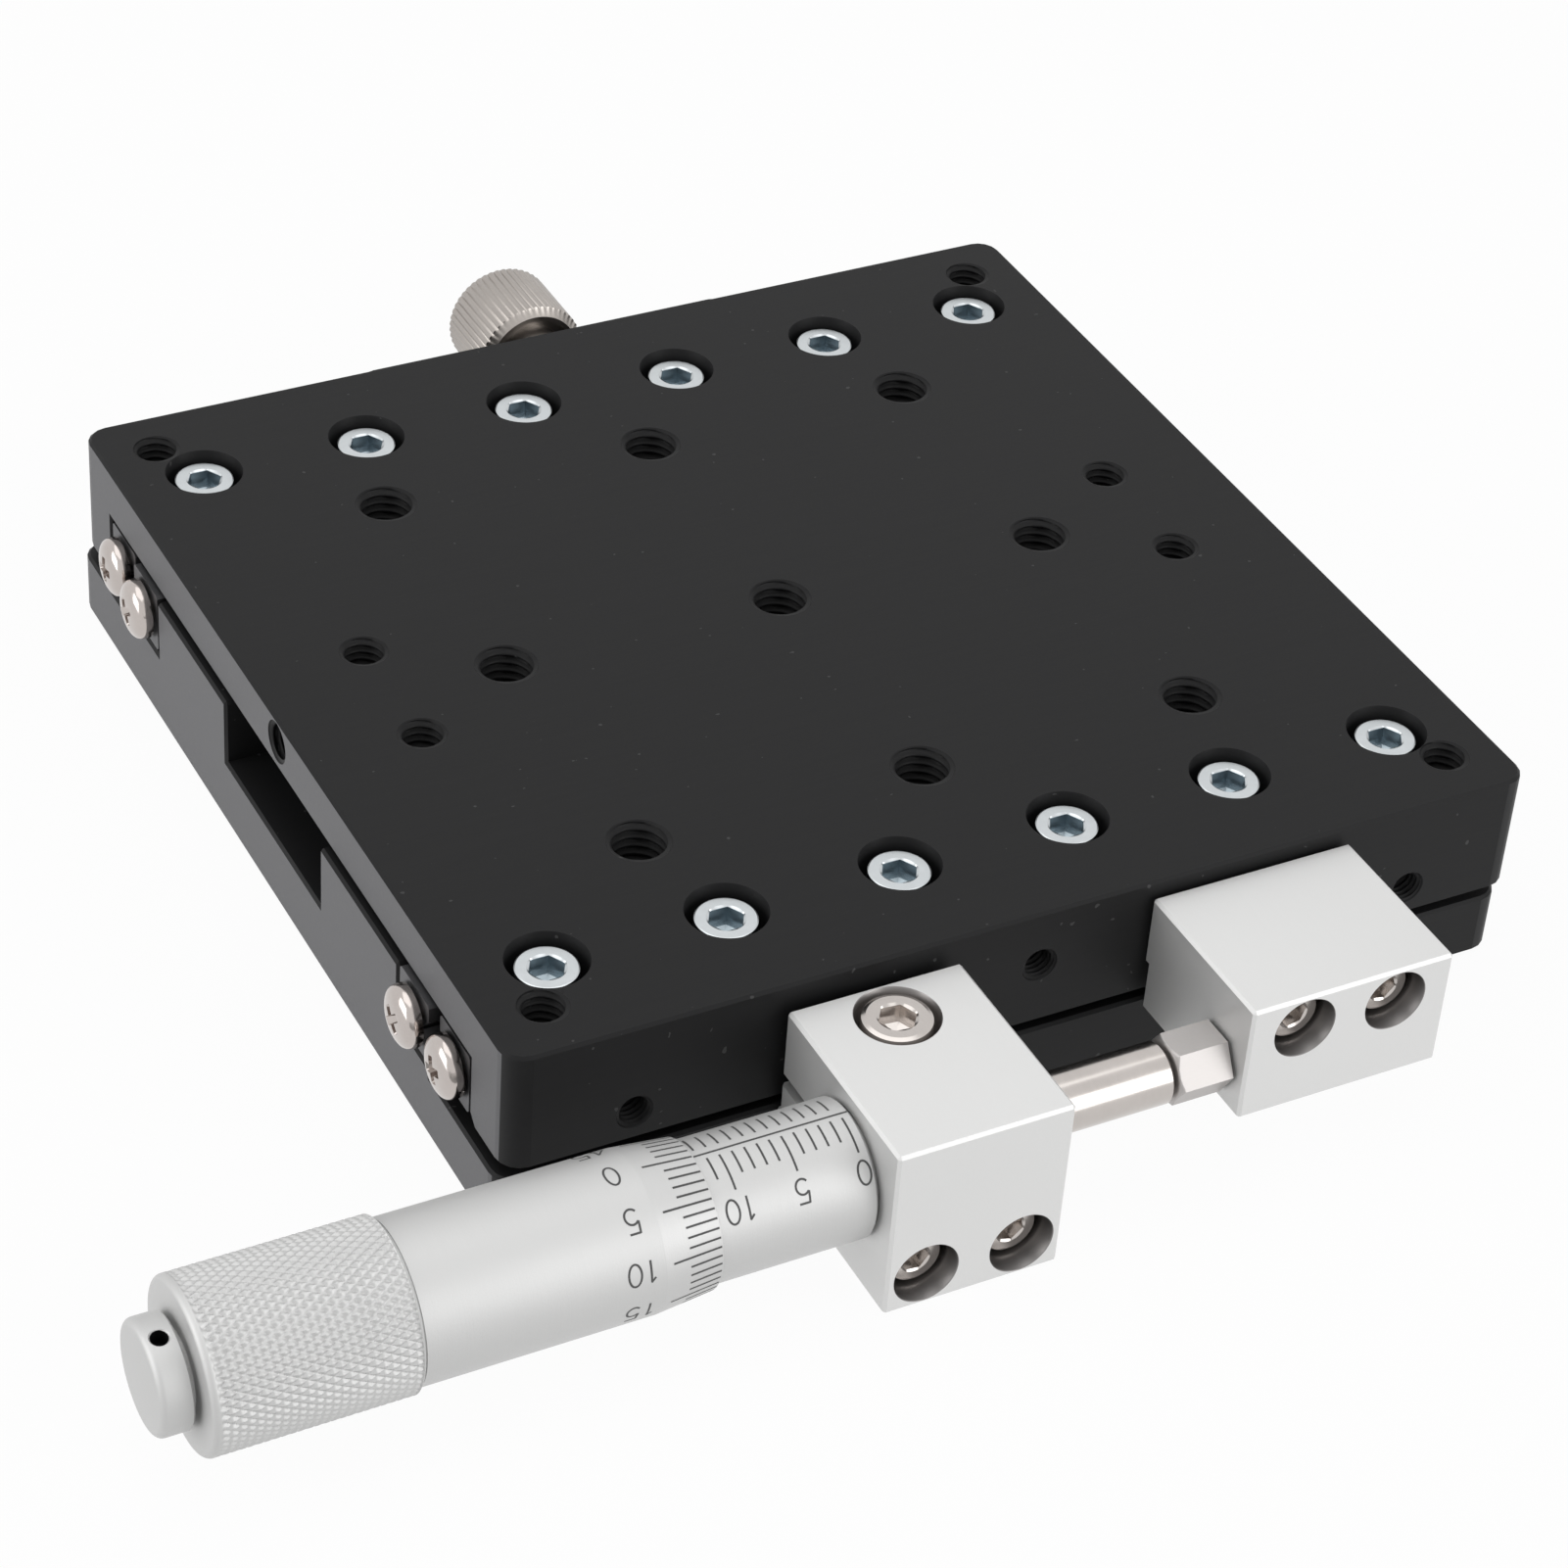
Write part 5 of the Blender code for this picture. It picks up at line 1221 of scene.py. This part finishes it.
class STAGE_OT_thimble(StageOperator, bpy.types.Operator):
    """Thimble, its grip, its scale and the end cap"""

    bl_idname = "stage.thimble"
    bl_label = "Thimble and end cap"

    def execute(self, context):
        head = context.scene.micrometer_looks
        grip_radius = (THIMBLE_HIGH[2] - THIMBLE_LOW[2]) / 2
        radius = grip_radius - GRIP_STEP
        edge = THIMBLE_HIGH[0]
        bevel_end = edge - head.bevel_length
        profile = [
            (GRIP_START_X, THIMBLE_CAVITY),
            (edge, THIMBLE_CAVITY),
            (edge, THIMBLE_RIM - RIM_BEVEL),
            (edge - RIM_BEVEL, THIMBLE_RIM),
            (bevel_end, radius),
            (GRIP_START_X + GRIP_GROOVE_WIDTH, radius),
            (GRIP_START_X + GRIP_GROOVE_WIDTH, radius - GRIP_GROOVE_DEPTH),
            (GRIP_START_X, radius - GRIP_GROOVE_DEPTH),
            (GRIP_START_X, THIMBLE_CAVITY),
        ]
        add_shape(
            "thimble_finished", [turned(profile, AXIS, TO_RIGHT, 144)], "head_satin",
            "thimble", ["micrometer_thimble"], sharp=3.0,
        )
        self.add_grip(head, grip_radius)
        self.add_scale(head, edge, bevel_end, radius)
        self.add_end_cap()
        return {"FINISHED"}

    def add_grip(self, head, radius):
        """The knurled grip: its radius drops by the deeper of two slanted rows of V grooves."""
        end = THIMBLE_LOW[0]
        columns = head.knurl_count * KNURL_STEPS
        slope = math.tan(math.radians(KNURL_SLANT)) / radius
        along = np.linspace(GRIP_START_X - KNURL_START, end + KNURL_END, KNURL_ROWS)[:, None]
        across = turns(columns) * head.knurl_count / (2 * math.pi)
        slant = along * slope * head.knurl_count / (2 * math.pi)
        ridge = np.minimum(np.abs((across + slant) % 1 - 0.5), np.abs((across - slant) % 1 - 0.5))
        groove = np.clip(1 - ridge / KNURL_LAND, 0.0, 1.0)
        to_start = (along[0] - along) / KNURL_START_FADE
        to_end = (along - along[-1]) / KNURL_END_FADE
        fade = np.clip(np.minimum(to_end, to_start), 0.0, 1.0)
        stations = [
            (GRIP_START_X, GRIP_BORE),
            (GRIP_START_X, radius - GRIP_GROOVE_DEPTH),
            (along, radius - head.knurl_depth * groove * fade),
            *reversed(quarter_round(end, radius, GRIP_ROUNDING)),
            (end, 0.0),
        ]
        surface = turned(stations, AXIS, TO_RIGHT, columns)
        add_shape("thimble_grip", [surface], "head_satin", "thimble", sharp=40.0)

    def add_scale(self, head, edge, bevel_end, radius):
        """Fifty marks round the bevel, longer each fifth, and a number each fifth."""
        half = head.mark_width / 2
        slope = (radius - THIMBLE_RIM) / (edge - bevel_end)

        def radius_at(along):
            return np.minimum(radius, THIMBLE_RIM + (edge - along) * slope)

        strokes = []
        for mark in range(THIMBLE_DIVISIONS):
            angle = math.radians(FIRST_MARK_ANGLE - 360.0 / THIMBLE_DIVISIONS * mark)
            fifth = mark % 5 == 0
            reach = LONG_MARK if fifth else SHORT_MARK
            strokes.append(line_along(edge - MARK_INSET, edge - reach, angle, half / radius))
            if fifth:
                flat = number(str(mark), head.digit_height, head.mark_width)
                strokes += read_from_back(flat, edge - THIMBLE_NUMBER_PLACE, angle, radius)
        surfaces = wrapped(strokes, radius_at)
        add_shape("thimble_scale", surfaces, "mark_fill", "thimble", closed=False)

    def add_end_cap(self):
        """The small cap at the end, with the pin hole in its side."""
        radius = (CAP_HIGH[2] - CAP_LOW[2]) / 2
        profile = [
            (CAP_LOW[0], 0.0),
            *quarter_round(CAP_LOW[0], radius, CAP_ROUNDING),
            (CAP_RIM_X - CAP_BEVEL, radius),
            (CAP_RIM_X, radius - CAP_BEVEL),
            (CAP_RIM_X, CAP_NECK),
            (CAP_HIGH[0], CAP_NECK),
            (CAP_HIGH[0], 0.0),
        ]
        cap = to_mesh("end_cap", [turned(profile, AXIS, TO_RIGHT, 96)])
        cap.materials.append(finish("head_satin"))
        up = math.radians(PIN_HOLE_ANGLE)
        out = np.array((0.0, -math.cos(up), math.sin(up)))
        side = np.array((0.0, math.sin(up), math.cos(up)))
        directions = np.array(((1.0, 0.0, 0.0), side, out))
        place = AXIS + (PIN_HOLE_X, 0.0, 0.0) + radius * out
        mouth = bore(place, directions, PIN_HOLE_RADIUS, PIN_HOLE_LEDGE, PIN_HOLE_BEVEL)
        hole = bore(place, directions, PIN_HOLE_RADIUS, PIN_HOLE_DEPTH, 0.0)
        # The pin hole's walls take the black finish, as painted shade in the aluminium cap
        cap = carved(carved(cap, [mouth], "head_satin"), [hole], "bore_black")
        add_piece(
            "end_cap_finished", cap, "head_satin", "thimble", ["micrometer_end_cap"]
        )


class STAGE_OT_anvil(StageOperator, bpy.types.Operator):
    """Hexagon anvil screw with two flats level: the lesser of a hexagon's radius and a cone's"""

    bl_idname = "stage.anvil"
    bl_label = "Anvil screw"

    def execute(self, context):
        low, high = span("anvil_screw")
        six = np.roll(hexagon(ANVIL_FLATS, ANVIL_SIDES), ANVIL_SIDES // 12)
        away = np.append(np.linspace(0.0, ANVIL_BEVEL_LENGTH, 12), ANVIL_LENGTH)[:, None]
        cone = ANVIL_FLATS / 2 - ANVIL_BEVEL_DEPTH + away / math.tan(math.radians(ANVIL_BEVEL_ANGLE))
        total = high[0] - low[0]
        stations = [
            (0.0, 0.0),
            (away, np.minimum(six, cone)),
            (ANVIL_LENGTH, ANVIL_SHANK),
            (total, ANVIL_SHANK),
            (total, 0.0),
        ]
        start = (low[0], *middle("anvil_screw")[1:])
        surface = turned(stations, start, TO_RIGHT, ANVIL_SIDES)
        add_shape(
            "anvil_screw_finished", [surface], "anvil_steel", "table", ["anvil_screw"]
        )
        return {"FINISHED"}


class STAGE_OT_knob(StageOperator, bpy.types.Operator):
    """Knurled lock knob: its radius less a groove, which is a sharpened cosine of the turn"""

    bl_idname = "stage.knob"
    bl_label = "Lock knob"

    def execute(self, context):
        head = context.scene.micrometer_looks
        low, high = span("lock_knob")
        centre = (low + high) / 2
        centre[1] = 0.0
        radius = (high[2] - low[2]) / 2
        sides = head.knob_ridges * 8
        wave = 0.5 - 0.5 * np.cos(head.knob_ridges * turns(sides))
        groove = KNOB_GROOVE * (1 - wave ** KNOB_SHARPNESS)
        tip = low[1]
        end = high[1]
        start = end - KNOB_LENGTH
        collar_start = start - KNOB_COLLAR_LENGTH
        back_length, back_drop = KNOB_BACK_BEVEL
        ridge_start, ridge_drop = KNOB_RIDGE_STEP
        bend_length, bend_drop = KNOB_BEVEL_BEND
        stations = [
            (tip, 0.0),
            (tip, KNOB_THREAD - KNOB_TIP_BEVEL),
            (tip + KNOB_TIP_BEVEL, KNOB_THREAD),
            (collar_start, KNOB_THREAD),
            (collar_start, KNOB_COLLAR - KNOB_COLLAR_BEVEL),
            (collar_start + KNOB_COLLAR_BEVEL, KNOB_COLLAR),
            (start + KNOB_RECESS, KNOB_COLLAR),
            (start + KNOB_RECESS, KNOB_RECESS_RADIUS),
            (start, KNOB_RECESS_RADIUS + KNOB_RECESS_BEVEL),
            (start, radius - back_drop),
            (start + back_length, radius - ridge_drop),
            (start + ridge_start, radius - groove),
            (end - KNOB_BEVEL, radius - groove),
            (end - bend_length, radius - bend_drop - 0.6 * groove),
            (end, radius - KNOB_BEVEL),
            (end, KNOB_DISH),
            (end - KNOB_DISH_DEPTH, KNOB_DISH - KNOB_DISH_BEVEL),
            (end - KNOB_DISH_DEPTH, 0.0),
        ]
        surface = turned(stations, centre, TO_BACK, sides)
        add_shape(
            "lock_knob_finished", [surface], "knob_stainless", "lock_knob",
            ["lock_knob"], sharp=40.0,
        )
        return {"FINISHED"}


class STAGE_OT_spring(StageOperator, bpy.types.Operator):
    """Return spring: a helix of close coils between two hooks"""

    bl_idname = "stage.spring"
    bl_label = "Return spring"

    def execute(self, context):
        base = middle("spring_post_base")[0]
        table = middle("spring_post_table")[0]
        height = middle("return_spring")[2]
        coils = self.coils(base + HOOK_REACH, table - HOOK_REACH, height)
        path = np.vstack((self.hook(base, height, *BASE_HOOK), coils, self.hook(table, height, *TABLE_HOOK)))
        mesh = to_mesh("return_spring_finished", [tube(path, WIRE_RADIUS, WIRE_SIDES)])
        piece = add_piece(
            "return_spring_finished", mesh, "spring_steel", None, ["return_spring"], 50.0
        )
        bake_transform(piece)
        return {"FINISHED"}

    def coils(self, start, end, height):
        """A helix: evenly along X, and a radius times the sine and cosine of the turn across it.

        The radius grows over the first turn and shrinks over the last, to meet the hooks.
        """
        turn = np.linspace(0.0, COIL_TURNS * 2 * math.pi, COIL_TURNS * COIL_STEPS)
        share = turn / turn[-1]
        radius = COIL_RADIUS * np.clip(np.minimum(share, 1 - share) * COIL_TURNS, COIL_END_SHARE, 1.0)
        along = start + (end - start) * share
        return np.stack((along, radius * np.sin(turn), height + radius * np.cos(turn)), axis=1)

    def hook(self, post, height, start, end):
        """A flat hook round a post: an arc between two angles in degrees."""
        points = curve((post, 0.0), (HOOK_RADIUS, HOOK_RADIUS), start, end, HOOK_STEPS)
        return np.column_stack((points, np.full(HOOK_STEPS, height)))


class STAGE_OT_inside(StageOperator, bpy.types.Operator):
    """Rails, cages and spring posts, which keep their solids and get their finishes"""

    bl_idname = "stage.inside"
    bl_label = "Rails and cages"

    def execute(self, context):
        finishes = {
            "rail_steel": ("base_rail_front", "base_rail_rear", "table_rail_front", "table_rail_rear"),
            "cage_brass": ("roller_cage_front", "roller_cage_rear"),
            "spring_steel": ("spring_post_base", "spring_post_table"),
        }
        for material, nodes in finishes.items():
            for node in nodes:
                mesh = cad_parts[node].data
                mesh.materials.clear()
                mesh.materials.append(finish(material))
        return {"FINISHED"}


# Studio


class STAGE_OT_studio(StageOperator, bpy.types.Operator):
    """Floor, lights, world and camera"""

    bl_idname = "stage.studio"
    bl_label = "Studio"

    def execute(self, context):
        self.add_floor()
        self.set_world()
        for name, (place, size, power) in LAMPS.items():
            self.add_lamp(name, place, size, power)
        self.add_camera()
        bpy.context.scene.view_settings.view_transform = "Standard"
        return {"FINISHED"}

    def add_floor(self):
        """A pale floor that shows white to the camera and keeps a soft shadow."""
        mesh = bpy.data.meshes.new("floor")
        corners = [
            (x * FLOOR_REACH, y * FLOOR_REACH, FLOOR_Z) for x, y in ((-1, -1), (1, -1), (1, 1), (-1, 1))
        ]
        mesh.from_pydata(corners, [], [(0, 1, 2, 3)])
        floor = bpy.data.objects.new("floor", mesh)
        bpy.context.scene.collection.objects.link(floor)
        material = bpy.data.materials.new("floor_white")
        sheet = Sheet(material)
        sheet.set({"Base Color": shade((0.95, 0.95, 0.95)), "Roughness": 0.9})
        glow = sheet.node("ShaderNodeEmission", {}, {"Color": shade((1.0, 1.0, 1.0)), "Strength": 1.0})[0]
        lit = Wire(sheet, sheet.shader.outputs[0])
        both = sheet.node("ShaderNodeMixShader", {}, [sheet.seen() * FLOOR_GLOW, lit, glow])[0]
        sheet.put(sheet.tree.nodes["Material Output"].inputs["Surface"], both)
        mesh.materials.append(material)

    def set_world(self):
        """A world that is white where it is seen, and softer where it lights the piece."""
        world = bpy.data.worlds.new("studio")
        bpy.context.scene.world = world
        sheet = Sheet(world, "Background")
        strength = WORLD_LIGHT + sheet.seen() * (1.0 - WORLD_LIGHT)
        sheet.set({"Color": shade((1.0, 1.0, 1.0)), "Strength": strength})

    def add_lamp(self, name, place, size, power):
        """A soft square lamp that looks at the stage."""
        lamp = bpy.data.lights.new(name, "AREA")
        lamp.size = size
        lamp.energy = power
        item = bpy.data.objects.new(name, lamp)
        bpy.context.scene.collection.objects.link(item)
        item.location = place
        item.visible_camera = False
        item.rotation_euler = look_along(np.array(LAMP_TARGET) - place, 0.0)

    def add_camera(self):
        """The camera at the photograph's place, angle and lens."""
        data = bpy.data.cameras.new("camera")
        data.sensor_width = SENSOR_WIDTH
        data.lens = CAMERA_LENS
        data.clip_start = 0.01
        data.clip_end = 10.0
        camera = bpy.data.objects.new("camera", data)
        bpy.context.scene.collection.objects.link(camera)
        camera.location = CAMERA_PLACE
        direction = (
            math.sin(CAMERA_AZIMUTH) * math.cos(CAMERA_ELEVATION),
            math.cos(CAMERA_AZIMUTH) * math.cos(CAMERA_ELEVATION),
            -math.sin(CAMERA_ELEVATION),
        )
        camera.rotation_euler = look_along(direction, CAMERA_ROLL)
        bpy.context.scene.camera = camera


def look_along(direction, roll):
    """The turn of a lamp or camera that looks along a direction, rolled about it."""
    turn = Vector(direction).to_track_quat("-Z", "Y").to_matrix()
    return (turn @ Matrix.Rotation(roll, 3, "Z")).to_euler()


STEPS = (
    STAGE_OT_plates,
    STAGE_OT_threads,
    STAGE_OT_blocks,
    STAGE_OT_cap_screws,
    STAGE_OT_end_screws,
    STAGE_OT_sleeve,
    STAGE_OT_thimble,
    STAGE_OT_anvil,
    STAGE_OT_knob,
    STAGE_OT_spring,
    STAGE_OT_inside,
    STAGE_OT_studio,
)


class STAGE_PT_panel(bpy.types.Panel):
    """The stage's pieces and their settings"""

    bl_idname = "STAGE_PT_panel"
    bl_label = "Linear Stage"
    bl_space_type = "VIEW_3D"
    bl_region_type = "UI"
    bl_category = "Linear Stage"

    def draw(self, context):
        for group in (context.scene.stage_looks, context.scene.micrometer_looks):
            for key in group.__annotations__:
                self.layout.prop(group, key)
        for step in STEPS:
            self.layout.operator(step.bl_idname)


CLASSES = (StageLooks, MicrometerLooks, *STEPS, STAGE_PT_panel)


def register():
    """Register the classes and add the settings to the scene."""
    for item in CLASSES:
        bpy.utils.register_class(item)
    bpy.types.Scene.stage_looks = PointerProperty(type=StageLooks)
    bpy.types.Scene.micrometer_looks = PointerProperty(type=MicrometerLooks)


def unregister():
    """Take the settings and the classes away again."""
    del bpy.types.Scene.micrometer_looks
    del bpy.types.Scene.stage_looks
    for item in reversed(CLASSES):
        bpy.utils.unregister_class(item)


def main():
    register()
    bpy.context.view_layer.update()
    for step in STEPS:
        group, name = step.bl_idname.split(".")
        getattr(getattr(bpy.ops, group), name)()


if __name__ == "__main__":
    main()
